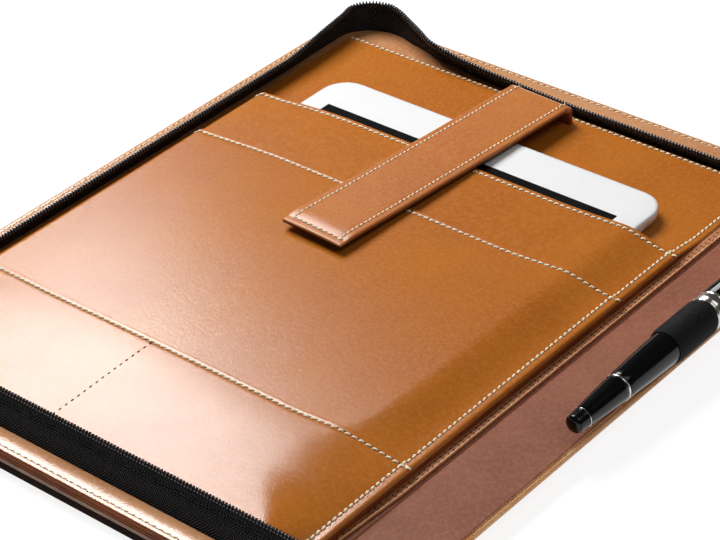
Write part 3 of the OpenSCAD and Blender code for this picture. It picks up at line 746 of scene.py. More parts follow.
def rim_section(z0: float, z1: float, seam: float) -> tuple[list[tuple[float, float]], list[int]]:
    """Returns the rim's section and the finish of each face up its outer edge.

    A rim that rises past the page's zero height has a pale lip there, painted as a highlight line,
    and is painted dark above it as shade.
    The seam is a share of the rim's width.
    """
    edge, marks = [(0.0, z0 + 0.12)], [1]
    if z1 > 1:
        edge += [(0.0, -0.55), (-0.012, -0.25), (-0.04, 0.05), (-0.045, 0.35)]
        # Mark 2 is the lip's painted highlight and mark 3 the painted shade on the band above it.
        marks = [1, 2, 2, 2, 3]
    out = edge[-1][0]
    edge += [(out, z1 - 0.5), (out + 0.006, z1 - 0.3), (0.02, z1 - 0.13)]
    marks += [marks[-1]] * 2
    top = [(0.045, z1 - 0.03), (0.09, z1)]
    top += [(seam + d, z1 + rise) for d, rise in ((-0.11, 0.01), (-0.04, -0.03), (0.0, -0.06),
                                                  (0.04, -0.03), (0.11, 0.01))]
    top += [(0.96, z1 - 0.01), (0.99, z1 - 0.1), (1.0, z1 - 0.3)]
    return edge + top + [(1.0, z0 + 0.05), (0.5, z0), (0.02, z0)], marks


# ---------------------------------------------------------------- repeats along a path


@dataclass
class Run:
    """A line that something repeats along, with the way up at each point."""

    points: Array
    ups: Array

    @staticmethod
    def over(points: Array, up: Sequence[float] = (0, 0, 1)) -> "Run":
        """Returns a run with one way up."""
        points = np.asarray(points, float)
        return Run(points, np.broadcast_to(np.asarray(up, float), points.shape).copy())

    def under(self, wanted: bool = True) -> "Run":
        """Returns this run on the folded-under front cover, where that is wanted."""
        if not wanted:
            return self
        return Run(folded_under(self.points), self.ups * np.array([1, 1, -1]))


def capsule(length: float, radius: float, arch: float, sink: float) -> Shape:
    """Returns one arched stitch along X, in millimetres, with its ends sunk in the leather."""
    rings, sides = 7, 6
    loops = []
    for t in np.linspace(-1, 1, rings):
        fat = radius * max(math.sqrt(max(1 - (abs(t) ** 3), 0)), 0.3)
        z = arch * (1 - t * t) - sink
        angles = around(sides)
        loops.append(np.stack([np.full(sides, t * length / 2), fat * np.cos(angles),
                               z + 0.75 * fat * np.sin(angles)], 1))
    return loft(loops)


def needle_hole(pitch: float) -> Shape:
    """Returns one needle hole, half a pitch along X, as a flat dark spot of painted shade in the
    leather.
    """
    sides, long, wide = 10, 0.42, 0.34
    angles = around(sides)
    steps = ((1, -0.1), (1, 0.07), (0.5, 0.1))
    return loft([np.stack([pitch / 2 + long * r * np.cos(angles), wide * r * np.sin(angles),
                           np.full(sides, z)], 1) for r, z in steps])


def tooth() -> Shape:
    """Returns one zip tooth, in millimetres: a rounded block across the tape's edge."""
    sides, along, across, up = 8, 0.4, 1.15, 0.15
    loops = []
    for t in np.linspace(-1, 1, 6):
        fat = max((1 - abs(t) ** 3.2) ** 0.5, 0.25)
        angles = around(sides, 0.5)
        loops.append(np.stack([along * fat * np.cos(angles), np.full(sides, across * t),
                               up + across * fat * np.sin(angles)], 1))
    return loft(loops)


class RepeatTree:
    """The geometry node tree that sets one item again and again along paths."""

    NODES = {
        "given": "NodeGroupInput", "out": "NodeGroupOutput", "curve": "GeometryNodeMeshToCurve",
        "sample": "GeometryNodeResampleCurve", "item": "GeometryNodeObjectInfo",
        "ahead": "FunctionNodeAlignRotationToVector", "tangent": "GeometryNodeInputTangent",
        "up": "GeometryNodeInputNamedAttribute", "upright": "FunctionNodeAlignRotationToVector",
        "chance": "FunctionNodeRandomValue", "less": "ShaderNodeMath", "lean": "ShaderNodeMath",
        "spin": "ShaderNodeCombineXYZ", "euler": "FunctionNodeEulerToRotation",
        "rotate": "FunctionNodeRotateRotation", "place": "GeometryNodeInstanceOnPoints",
        "real": "GeometryNodeRealizeInstances", "dress": "GeometryNodeSetMaterial",
    }
    SETTINGS = (("sample", "mode", "LENGTH"), ("ahead", "axis", "X"),
                ("up", "data_type", "FLOAT_VECTOR"), ("upright", "axis", "Z"),
                ("upright", "pivot_axis", "X"), ("chance", "data_type", "FLOAT"),
                ("less", "operation", "MULTIPLY"), ("rotate", "rotation_space", "LOCAL"))
    LINKS = (("given", "Paths", "curve", "Mesh"), ("curve", 0, "sample", "Curve"),
             ("given", "Pitch", "sample", "Length"), ("given", "Item", "item", "Object"),
             ("tangent", 0, "ahead", "Vector"), ("ahead", 0, "upright", "Rotation"),
             ("up", "Attribute", "upright", "Vector"), ("given", "Seed", "chance", "Seed"),
             ("given", "Wobble", "less", 0), ("given", "Slant", "lean", 0),
             ("lean", 0, "spin", "Z"), ("spin", 0, "euler", 0), ("upright", 0, "rotate", 0),
             ("euler", 0, "rotate", 1), ("sample", 0, "place", "Points"),
             ("item", "Geometry", "place", "Instance"), ("rotate", 0, "place", "Rotation"),
             ("place", 0, "real", 0), ("real", 0, "dress", "Geometry"),
             ("given", "Finish", "dress", "Material"), ("dress", 0, "out", 0))
    tree: bpy.types.NodeTree | None = None
    sockets: dict[str, str] = {}

    @classmethod
    def build(cls) -> bpy.types.NodeTree:
        """Builds the tree once and returns it."""
        if cls.tree is not None:
            return cls.tree
        tree = bpy.data.node_groups.new("repeat_along_paths", "GeometryNodeTree")
        face = tree.interface
        face.new_socket("Paths", in_out="INPUT", socket_type="NodeSocketGeometry")
        kinds = {"Item": "Object", "Pitch": "Float", "Slant": "Float", "Wobble": "Float",
                 "Seed": "Int", "Finish": "Material"}
        for label, kind in kinds.items():
            socket = face.new_socket(label, in_out="INPUT", socket_type="NodeSocket" + kind)
            cls.sockets[label] = socket.identifier
        face.new_socket("Repeats", in_out="OUTPUT", socket_type="NodeSocketGeometry")
        nodes = {key: tree.nodes.new(kind) for key, kind in cls.NODES.items()}
        for key, name, value in cls.SETTINGS:
            setattr(nodes[key], name, value)
        nodes["up"].inputs["Name"].default_value = "up"
        nodes["less"].inputs[1].default_value = -1.0
        chance = nodes["chance"]
        low, high = [s for s in chance.inputs if s.type == "VALUE" and s.enabled]
        link = tree.links.new
        link(nodes["less"].outputs[0], low)
        link(nodes["given"].outputs["Wobble"], high)
        link(next(s for s in chance.outputs if s.enabled), nodes["lean"].inputs[1])
        for source, out, target, into in cls.LINKS:
            link(nodes[source].outputs[out], nodes[target].inputs[into])
        cls.tree = tree
        return tree


@dataclass(frozen=True)
class Repeat:
    """An item and how it follows a path."""

    item: Callable[[], Shape]
    pitch: float
    slant: float = 0.0
    wobble: float = 0.0
    seed: int = 5

    def sew(self, name: str, runs: Sequence[Run], body: str) -> None:
        """Makes a seam's cream stitches and, between them, dark spots of painted shade for the
        needle holes.
        """
        self.along(name + "_stitches", runs, body, "pale_leather", Finish.CREAM)
        self.pricked().along(name + "_holes", runs, body, "dark_leather", Finish.HOLE)

    def pricked(self) -> "Repeat":
        """Returns dark spots of painted shade for the needle holes between these stitches."""
        return replace(self, item=lambda: needle_hole(self.pitch))

    def along(self, name: str, runs: Sequence[Run], body: str, slot: str, finish: Finish,
              stands_for: Sequence[str] = ()) -> bpy.types.Object:
        """Makes one plain mesh of the item repeated along the runs.

        Args:
            name: the piece's name.
            runs: the paths, in the page frame.
            body: the CAD body, or "" where the piece rides on none.
            slot: the record's material slot; not used.
            finish: the items' finish.
            stands_for: the CAD nodes that it replaces.
        Returns:
            The object.
        """
        points, edges, ups = [], [], []
        for run in runs:
            first = len(points)
            points += [tuple(p) for p in row(run.points)]
            ups.append(run.ups)
            edges += [(first + i, first + i + 1) for i in range(len(run.points) - 1)]
        paths = bpy.data.meshes.new(name + "_paths")
        paths.from_pydata(points, edges, [])
        attribute = paths.attributes.new("up", "FLOAT_VECTOR", "POINT")
        attribute.data.foreach_set("vector", np.concatenate(ups).astype(np.float32).ravel())
        shape = self.item()
        pattern = bpy.data.meshes.new(name + "_item")
        pattern.from_pydata([tuple(p) for p in shape.points * MM], [], shape.faces)
        face_outwards(pattern)
        pattern.shade_smooth()
        host = bpy.data.objects.new(name + "_host", paths)
        item = bpy.data.objects.new(name + "_pattern", pattern)
        for o in (host, item):
            bpy.context.scene.collection.objects.link(o)
        modifier = host.modifiers.new("repeat", "NODES")
        modifier.node_group = RepeatTree.build()
        values = {"Item": item, "Pitch": self.pitch * MM, "Slant": math.radians(self.slant),
                  "Wobble": math.radians(self.wobble), "Seed": self.seed,
                  "Finish": Palette.get(finish)}
        for label, value in values.items():
            modifier[RepeatTree.sockets[label]] = value
        graph = bpy.context.evaluated_depsgraph_get()
        mesh = bpy.data.meshes.new_from_object(host.evaluated_get(graph))
        mesh.name = name
        for o in (host, item):
            bpy.data.objects.remove(o)
        return enter(name, mesh, body, slot, stands_for)


PANEL_STITCH = Repeat(lambda: capsule(2.5, 0.55, 0.36, 0.14), 2.85, slant=14, wobble=3)
STRAP_STITCH = Repeat(lambda: capsule(2.25, 0.4, 0.32, 0.12), 2.5, slant=14, wobble=3)
RIM_STITCH = Repeat(lambda: capsule(2.6, 0.36, 0.3, 0.12), 3.3, slant=12, wobble=3)
FINE_STITCH = Repeat(lambda: capsule(1.9, 0.28, 0.24, 0.1), 2.9, slant=8, wobble=4)
HOLE_STITCH = Repeat(lambda: capsule(1.5, 0.3, 0.16, 0.08), 3.1, slant=0, wobble=3)
TEETH = Repeat(tooth, 1.5)
TAPE_STITCH = Repeat(lambda: capsule(1.1, 0.3, 0.3, 0.05), 1.6)


# ---------------------------------------------------------------- pockets


@dataclass
class PocketStack:
    """The panel with three pockets stepped over the tablet, and all the thread in them."""

    mouths: tuple[float, float, float] = (-64.2, -103.7, -229.6)
    left_up: tuple[float, float, float] = (-4.2, -3.2, 1.6)
    right_up: tuple[float, float, float] = (2.9, 4.3, 4.9)
    domes: tuple[float, float, float] = (0.35, 0.55, 1.5)
    shoulder: float = 55.0
    crown_left: float = -203.5
    foot_left: float = -210.0
    foot_right: float = 0.4
    crown_low: float = -284.4
    foot_low: float = -286.4
    groove: float = 0.14
    seam_in: float = 2.3
    seam_wide: float = 0.8
    mouth_wide: float = 0.75
    dome_middle: float = -112.0
    dome_half: float = 100.0
    dome_down: float = 50.0
    bulge_high: float = -190.0
    bulge_long: float = 75.0
    pull_wide: float = 60.0
    panel_pull: float = 0.96
    panel_pull_wide: float = 16.0
    divider: float = -113.0

    def __post_init__(self) -> None:
        """Lays out how the tablet pulls the right seam up, and where its crown ends there."""
        self.pull = Curve(((-300, 0), (-287, 0.2), (-262, 0.8), (-227, 1.15), (-150, 1.75),
                           (-102, 1.95), (-64, 1.9), (-52, 0.8), (-44, 0), (10, 0)))
        self.crown_right = Curve(((-300, -14), (-284, -14), (-279, -17), (-272, -24), (-265, -31),
                                  (-257, -35), (-242, -35), (-225, -30), (-205, -23),
                                  (-190, -21.5), (10, -21.5)))

    def mouth(self, k: int, x: Array) -> Array:
        """Returns the height up the page of pocket k's mouth."""
        left = ease(1 - (x - PAGE.panel_left) / self.shoulder)
        right = ease(1 - (PAGE.panel_right - x) / self.shoulder)
        return self.mouths[k] + self.left_up[k] * left + self.right_up[k] * right

    def mound(self, x: Array, y: Array) -> Array:
        """Returns how far the leather has risen over the tablet, from 0 to 1."""
        start = self.crown_right.value(y)
        right = np.clip((x - start) / (self.foot_right - start), 0, 1)
        left = np.clip((self.crown_left - x) / (self.crown_left - self.foot_left), 0, 1)
        low = np.clip((self.crown_low - y) / (self.crown_low - self.foot_low), 0, 1)
        out = np.minimum(np.sqrt(right ** 2 + low ** 2 + left ** 2), 1)
        convex = ease((self.bulge_high - y) / self.bulge_long)
        return 1 - (1 - convex) * ease(out) - convex * out ** 2.1

    def top(self, k: int) -> Surface:
        """Returns the upper surface of pocket k, with dips along its seams."""
        def surface(x: Array, y: Array) -> Array:
            """Returns the surface's height."""
            rise = self.mound(x, y)
            z = PAGE.panel_face + k * PAGE.layer + PAGE.pocket
            z = z + rise * (PAGE.crown - PAGE.panel_face)
            z = z + (1 - rise) * self.pull.value(y) * ease((x + self.pull_wide) / self.pull_wide)
            away = np.abs(x - self.dome_middle) / self.dome_half
            across = np.clip(1 - away ** 2.4, 0, 1)
            down = np.clip((y - self.foot_low) / self.dome_down, 0, 1)
            z = z + self.domes[k] * across * ease(down) * rise
            seam = np.exp(-((self.mouth(k, x) - self.seam_in - y) / self.mouth_wide) ** 2)
            side = np.exp(-(x / self.seam_wide) ** 2)
            return z - self.groove * np.maximum(seam, side)
        return surface

    def bottom(self, k: int) -> Surface:
        """Returns pocket k's lower surface; its right edge is turned down over the panel."""
        upper = self.top(k)

        def surface(x: Array, y: Array) -> Array:
            """Returns the surface's height."""
            turned_in = ease((x - PAGE.panel_right + 0.6) / 0.5)
            return (upper(x, y) - PAGE.pocket) * (1 - turned_in) + turned_in * (
                PAGE.panel_under - 0.05 * (k + 1))
        return surface

    def skin_height(self, x: Array, y: Array) -> Array:
        """Returns the height of whichever leather is uppermost."""
        z = self.panel_top(x, y)
        for k in range(3):
            z = np.where(y <= self.mouth(k, x), self.top(k)(x, y), z)
        return z

    def seam(self, x: Array, y: Array, surface: Surface) -> Run:
        """Returns a run on a surface, with the surface's own way up."""
        z, d = surface(x, y), 0.4
        slope_x = (surface(x + d, y) - surface(x - d, y)) / (2 * d)
        slope_y = (surface(x, y + d) - surface(x, y - d)) / (2 * d)
        ups = np.stack([-np.clip(slope_x, -1, 1), -np.clip(slope_y, -0.3, 0.3),
                        np.ones_like(z)], 1)
        return Run(np.stack([x, y, z], 1), ups)

    def build(self) -> None:
        """Makes the panel, the pockets and their thread."""
        panel = Patch(PAGE.panel_left, PAGE.panel_right, level(PAGE.panel_low),
                      level(PAGE.panel_high), self.panel_top, level(PAGE.panel_under),
                      (0.3, 0.8, 0.3, 0.45), step=4.0,
                      extra=(-14, -11, -8, -5, -2.5, -0.8, -0.4, 0, 0.4, 0.8))
        add_piece("pocket_backing", panel.shape(), "back_cover", "tan_leather",
                  (Finish.TAN, Finish.EDGE), ("pocket_panel",))
        names = (("deep_pocket", "tablet_pocket"), ("second_pocket", "middle_pocket"),
                 ("bottom_pocket", "low_pocket"))
        slopes = np.concatenate([np.arange(-22, 1.3, 0.8), np.arange(-211, -202, 0.7)])
        for k, (name, node) in enumerate(names):
            right = PAGE.panel_right + 0.28 * (k + 1)
            patch = Patch(PAGE.panel_left - 0.1 * k, right, level(PAGE.panel_low - 0.1 * k),
                          lambda x, k=k: self.mouth(k, x), self.top(k), self.bottom(k),
                          (0.3, 1.3, 0.3, 0.26), step=2.8, extra=slopes)
            add_piece(name, patch.shape(), "back_cover", "tan_leather", (Finish.TAN, Finish.MOUTH),
                      (node,))
        self.thread()

    def panel_top(self, x: Array, y: Array) -> Array:
        """Returns the panel's upper surface."""
        seams = np.exp(-(np.minimum(np.abs(x), np.abs(y)) / self.seam_wide) ** 2)
        pulled = self.panel_pull * self.pull.value(y) * ease(
            (x + self.panel_pull_wide) / self.panel_pull_wide)
        return PAGE.panel_face + pulled - self.groove * seams

    def thread(self) -> None:
        """Sews the panel's seams, the mouths and the divider."""
        across = np.linspace(PAGE.panel_left + 1.2, PAGE.panel_right - 0.4, 160)
        down = np.linspace(PAGE.panel_high - 1.0, PAGE.panel_low + 1.0, 400)
        runs = [self.seam(across, np.zeros_like(across), self.panel_top),
                self.seam(np.zeros_like(down), down, self.skin_height)]
        for k in range(3):
            wide = np.linspace(self.crown_left - 2.0, PAGE.panel_right - 0.2 + 0.2 * k, 200)
            runs.append(self.seam(wide, self.mouth(k, wide) - self.seam_in, self.top(k)))
        PANEL_STITCH.sew("panel", runs, "back_cover")
        y = np.linspace(self.mouths[2] - 3.4, PAGE.panel_low + 3.6, 40)
        line = self.seam(np.full_like(y, self.divider), y, self.top(2))
        HOLE_STITCH.along("divider_stitches", [line], "back_cover", "dark_leather", Finish.DARK)


# ---------------------------------------------------------------- zip


@dataclass
class Zip:
    """One cover's zip: the tape standing round its free sides, and the teeth on its edge.

    Each row of shape holds a mark along the tape, a distance from it, and the places of the teeth,
    the tape's knee and its foot, inwards and up from the rim's inner edge.
    """

    name: str
    body: str
    shape: Sequence[tuple]
    under: bool
    tape_end: float = 6.0
    gap: float = 0.7
    drop: float = -0.72
    thick: float = 0.7
    station: float = 2.4
    cord_r: float = 0.62
    in_teeth: float = 0.9
    stitch_rows: tuple[float, float] = (3.0, 4.3)

    def __post_init__(self) -> None:
        """Works out the lengths of the tape's straight and curved runs."""
        self.r = PAGE.corner - PAGE.rim - self.gap
        self.cx = PAGE.left + PAGE.corner
        self.run_x = self.tape_end - self.cx
        self.arc = math.pi / 2 * self.r
        self.turn_low = self.run_x
        self.left_low = self.turn_low + self.arc
        self.left_high = self.left_low + (PAGE.high - PAGE.low) - 2 * PAGE.corner
        self.top_left = self.left_high + self.arc
        self.long = self.top_left + self.run_x
        marks = {"start": 0.0, "turn_low": self.turn_low, "left_low": self.left_low,
                 "left_high": self.left_high, "top_left": self.top_left, "end": self.long}
        rows = []
        for mark, ahead, teeth_in, teeth_up, *rest in self.shape:
            knee_in, knee_up, foot_in = rest or (teeth_in / 2 - 0.3, teeth_up / 2, 0.0)
            rows.append((marks[mark] + ahead, teeth_in, teeth_up, knee_in, knee_up, foot_in))
        self.curve = Curve(rows)

    def section(self, s: float, up: float) -> tuple[Array, Array]:
        """Returns a point of the tape's section and its way, as inwards and up.

        Args:
            s: the distance along the tape.
            up: 0 at the tape's foot and 1 at the teeth.
        """
        teeth_in, teeth_up, knee_in, knee_up, foot_in = self.curve.at(s)
        foot = np.array([foot_in, 0.8 * float(ease(np.array(-foot_in)))])
        knee, teeth = np.array([knee_in, knee_up]), np.array([teeth_in, teeth_up])
        a, b = foot + (knee - foot) * 0.72, teeth + (knee - teeth) * 0.72
        t, r = up, 1 - up
        place = r ** 3 * foot + 3 * r * r * t * a + 3 * r * t * t * b + t ** 3 * teeth
        way = 3 * r * r * (a - foot) + 6 * r * t * (b - a) + 3 * t * t * (teeth - b)
        return place, way / np.linalg.norm(way)

    def tall(self, s: float) -> float:
        """Returns the tape's width at a distance along it."""
        places = np.array([self.section(s, u)[0] for u in np.linspace(0, 1, 7)])
        return float(np.linalg.norm(np.diff(places, axis=0), axis=1).sum())

    def base(self, s: float) -> tuple[Array, Array]:
        """Returns the tape's foot and the way out of the cover at a distance along it."""
        low, high = PAGE.low + PAGE.corner, PAGE.high - PAGE.corner

        def turning(first: float, past: float, y: float) -> tuple[Array, Array]:
            """Returns the foot and the way out, past the start of a turn about height y."""
            a = math.radians(first - 90 * past / self.arc)
            out = np.array([math.cos(a), math.sin(a)])
            return np.array([self.cx, y]) + self.r * out, out

        if s < self.turn_low:
            return np.array([self.tape_end - s, low - self.r]), np.array([0.0, -1.0])
        if s < self.left_low:
            return turning(-90, s - self.turn_low, low)
        if s < self.left_high:
            return np.array([self.cx - self.r, low + s - self.left_low]), np.array([-1.0, 0.0])
        if s < self.top_left:
            return turning(-180, s - self.left_high, high)
        return np.array([self.cx + s - self.top_left, high + self.r]), np.array([0.0, 1.0])

    def point(self, s: float, up: float, side: float, beyond: float = 0.0) -> Array:
        """Returns a point of the tape in the page frame.

        Args:
            s: the distance along the tape.
            up: 0 at the tape's foot and 1 at the teeth.
            side: how far the point lies out of the tape's middle, towards its outer face.
            beyond: how far it lies past the teeth.
        """
        place, way = self.section(s, up)
        foot, out = self.base(s)
        inwards = place[0] + way[0] * beyond - side * way[1]
        flat = foot - out * inwards
        return np.array([flat[0], flat[1], self.drop + place[1] + way[1] * beyond + side * way[0]])

    def ways(self, s: float, up: float = 1.0) -> tuple[Array, Array]:
        """Returns the tape's way up and the way out of its outer face."""
        _, way = self.section(s, up)
        _, out = self.base(s)
        return np.array([*(-out * way[0]), way[1]]), np.array([*(out * way[1]), way[0]])

    def placed(self, points: Array) -> Array:
        """Returns points on the cover that this zip belongs to."""
        return folded_under(points) if self.under else np.asarray(points, float)

    def build(self) -> None:
        """Makes the tape, its flat margin, the teeth and the tape's fine stitches."""
        s_all = np.linspace(0, self.long, int(self.long / self.station))
        ups = np.linspace(0, 1, 13)
        loops, uv = [], []
        for s in s_all:
            tall = self.tall(s)
            wave = 0.1 * math.sin(s / 9.0) + 0.06 * math.sin(s / 4.1 + 1)
            faces = [(u, self.thick / 2) for u in ups] + [(u, -self.thick / 2) for u in ups[::-1]]
            reach = 1 - self.in_teeth / tall
            loops.append([self.point(s, u * reach, side + wave * u * (1 - u) * 2)
                          for u, side in faces])
            uv += [(s * MM, u * tall * MM) for u, side in faces]
        wall = loft(self.placed(np.array(loops)))
        wall.uv = np.array(uv)
        flat = -PAGE.leather
        margin = band(3.0, PAGE.rim + self.gap + 0.6, self.tape_end,
                      [(0, flat), (1, flat), (1, self.drop), (0, self.drop)])
        margin = turned(margin, self.placed)
        tape = wall.joined(margin)
        tape.uv = np.vstack([wall.uv, margin.points[:, :2] * MM])
        add_piece(self.name + "_tape", tape, self.body, "zip_tape", (Finish.TAPE,),
                  (self.name + "_zip_tape",))
        r, sunk = self.cord_r, 0.35
        cord = [[self.point(s, 1, r * math.cos(a), r * math.sin(a) - sunk) for a in around(8)]
                for s in s_all]
        add_piece(self.name + "_teeth_cord", loft(self.placed(np.array(cord))), self.body,
                  "zip_teeth", (Finish.CORD,))
        fine = np.linspace(0.5, self.long - 0.5, 500)
        run = Run(np.array([self.point(s, 1, 0) for s in fine]),
                  np.array([self.ways(s)[0] for s in fine]))
        TEETH.along(self.name + "_teeth", [run.under(self.under)], self.body, "zip_teeth",
                    Finish.TEETH, (self.name + "_zip_teeth",))
        runs = []
        for side in (self.thick / 2, -self.thick / 2):
            for less in self.stitch_rows:
                line, way = [], []
                for s in fine:
                    up = 1 - less / self.tall(s)
                    line.append(self.point(s, up, side))
                    way.append(self.ways(s, up)[1] * math.copysign(1, side))
                runs.append(Run(np.array(line), np.array(way)).under(self.under))
        TAPE_STITCH.along(self.name + "_tape_stitches", runs, self.body, "zip_tape", Finish.BLACK)


# The back tape leans in over the covers' edge, and stands high in a wave round the top left
# corner.
BACK_TAPE = (("start", 0, 5.5, 11.3), ("turn_low", -40, 5.5, 11.3), ("turn_low", 8, 0.8, 12.6),
             ("left_low", 40, 6.9, 10.3), ("left_high", -45, 6.9, 10.3),
             ("left_high", -14, 5, 13), ("left_high", 0, 3.6, 13.7), ("left_high", 8, 0, 13.9),
             ("top_left", 0, -5.2, 13.7, -3.6, 7, -3.0),
             ("top_left", 6, -6.6, 13.7, -6.3, 7, -5.2),
             ("top_left", 12, -5.4, 13.5, -5.9, 6.8, -5.4),
             ("top_left", 21, -2.3, 12.2, -3.3, 5.9, -3.2),
             ("top_left", 31, 2.4, 11.8, 0.0, 5.2, -1.5),
             ("top_left", 37, 5.0, 11.2, 2.2, 4.4, -0.3),
             ("top_left", 48, 6.6, 10.0, 3.4, 2.8, 0), ("top_left", 58, 7.0, 9.0, 4.7, 2.2, 0),
             ("top_left", 70, 7.1, 8.1, 5.6, 1.9, 0), ("top_left", 96, 6.9, 6.6, 6.8, 1.75, 0),
             ("top_left", 120, 6.8, 5.8, 7.2, 1.7, 0), ("end", 0, 6.8, 5.7, 7.3, 1.7, 0))
FRONT_TAPE = (("start", 0, 11, 3.4), ("turn_low", -20, 11, 3.4), ("turn_low", 8, 9.4, 3.4),
              ("left_low", 20, 11, 3.4), ("left_high", -20, 11, 3.4), ("left_high", 8, 9.4, 3.4),
              ("top_left", 20, 11, 3.4), ("end", 0, 11, 3.4))


# ---------------------------------------------------------------- covers


@dataclass
class Cover:
    """One cover's sheets: outer leather, rim, base lining and the thread round the rim."""

    name: str
    body: str
    under: bool
    end: float
    lip: float
    rim_top: float
    seam_in: float = 4.5
    seam_stop: float = 2.6

    def placed(self, shape: Shape) -> Shape:
        """Returns a shape on this cover."""
        return turned(shape, folded_under) if self.under else shape

    def build(self) -> None:
        """Makes the cover's sheets and sews its rim."""
        z = PAGE.under
        profile = rounded_profile(z - self.lip, z + PAGE.leather, 0.3, 0.1)
        outer = stacked(lambda d: cover_line(0.08 + d, self.end), profile)
        stations = len(cover_line(0, 0))
        walls = stations * (len(profile) - 1)
        outer.marks = [1] * walls + [0] * (len(outer.faces) - walls)
        add_piece(self.name + "_outer_sheet", self.placed(outer), self.body, "tan_leather",
                  (Finish.OUTER, Finish.EDGE), (self.name + "_outer_leather",))
        section, ledge = rim_section(-PAGE.leather, self.rim_top, self.seam_in / PAGE.rim)
        rim = band(0.0, PAGE.rim, self.end, section)
        sides = ledge + [0] * (len(section) - len(ledge) - 1) + [1]
        rim.marks = sides * (stations - 1) + [1, 1]
        add_piece(self.name + "_rim", self.placed(rim), self.body, "tan_leather",
                  (Finish.RIM, Finish.EDGE, Finish.LIP, Finish.SHADE), (self.name + "_rim_band",))
        line = cover_line(self.seam_in, self.end - self.seam_stop)
        RIM_STITCH.sew(self.name + "_rim", [
            Run.over(at_height(line, height), (0, 0, up)).under(self.under)
            for height, up in ((self.rim_top - 0.1, 1), (z, -1))], self.body)


@dataclass
class BackBase:
    """The back cover's pale lining, which shows beyond the pocket panel."""

    inset: float = 10.5
    high: tuple = ((-230, 11.5), (-212, 12.6), (-207, 14.5), (-203, 15.1), (-198, 15.1),
                   (-192, 14.0), (-186, 12.5), (-176, 10.7), (-170, 9.6), (-161, 8.0),
                   (-151, 6.3), (-139, 4.9), (-99, 3.0), (-2, 2.7))

    def outline(self, inset: float) -> Array:
        """Returns the lining's outline, whose upper border follows the zip tape's foot."""
        line = cover_line(self.inset + inset, -2.0)
        start, nominal = PAGE.high - PAGE.corner, PAGE.high - self.inset - inset
        share = np.clip((line[:, 1] - start) / (nominal - start), 0, 1)
        limit = Curve(self.high).value(line[:, 0]) - inset
        line[:, 1] = np.where(share > 0, start + share * (limit - start), line[:, 1])
        return line

    def build(self) -> None:
        """Makes the lining."""
        sheet = stacked(self.outline, rounded_profile(-0.1, PAGE.panel_under - 0.02, 0.05, 0.12))
        add_piece("back_base_lining", sheet, "back_cover", "pale_leather", (Finish.PALE,),
                  ("back_lining",))


@dataclass
class FrontInside:
    """The front cover's padded inner side, which faces the table."""

    inset: float = 23.5
    corner: float = 6.0
    margin_start: float = -30.0
    margin_short: float = 14.0
    steps: tuple = (
        ("front_pad", "front_padding", "foam", Finish.FOAM, -0.1, 2.6, 0.9),
        ("front_inner_lining", "front_lining", "pale_leather", Finish.PALE, 2.6, 3.5, 0.4),
        ("document_sleeve", "document_pocket", "tan_leather", Finish.TAN, 3.5, 4.4, 0.5))

    def outline(self) -> Outline:
        """Returns the outline that the inner layers share."""
        x1 = FOLD_A - PAGE.pad_start
        x0 = PAGE.left + self.inset
        return rounded_rect((x0 + x1) / 2, (PAGE.high + PAGE.low) / 2, x1 - x0,
                            PAGE.high - PAGE.low - 2 * self.inset, self.corner)

    def build(self) -> None:
        """Makes the padding, the lining and the flat document sleeve, with its thread."""
        outline = self.outline()
        for name, node, slot, finish, z0, z1, r in self.steps:
            sheet = turned(stacked(outline, rounded_profile(z0, z1, 0.1, r)), folded_under)
            piece = add_piece(name, sheet, "front_cover", slot, (finish,), (node,))
        points = outline(3.2)
        loop = np.vstack([points, points[:1]])
        run = Run.over(at_height(loop, self.steps[-1][5] - 0.04))
        FINE_STITCH.along("sleeve_stitches", [run.under()], "front_cover", "pale_leather",
                          Finish.CREAM)
        end = FOLD_A - PAGE.roll_clear
        margin = Patch(self.margin_start, end, level(PAGE.low + self.margin_short),
                       level(PAGE.high - self.margin_short), level(PAGE.spine_face),
                       level(-PAGE.leather), step=8.0)
        add_piece("front_margin", turned(margin.shape(), folded_under), "front_cover", "suede",
                  (Finish.MAUVE, Finish.CUT_HIGHLIGHT), ("front_suede_margin",))


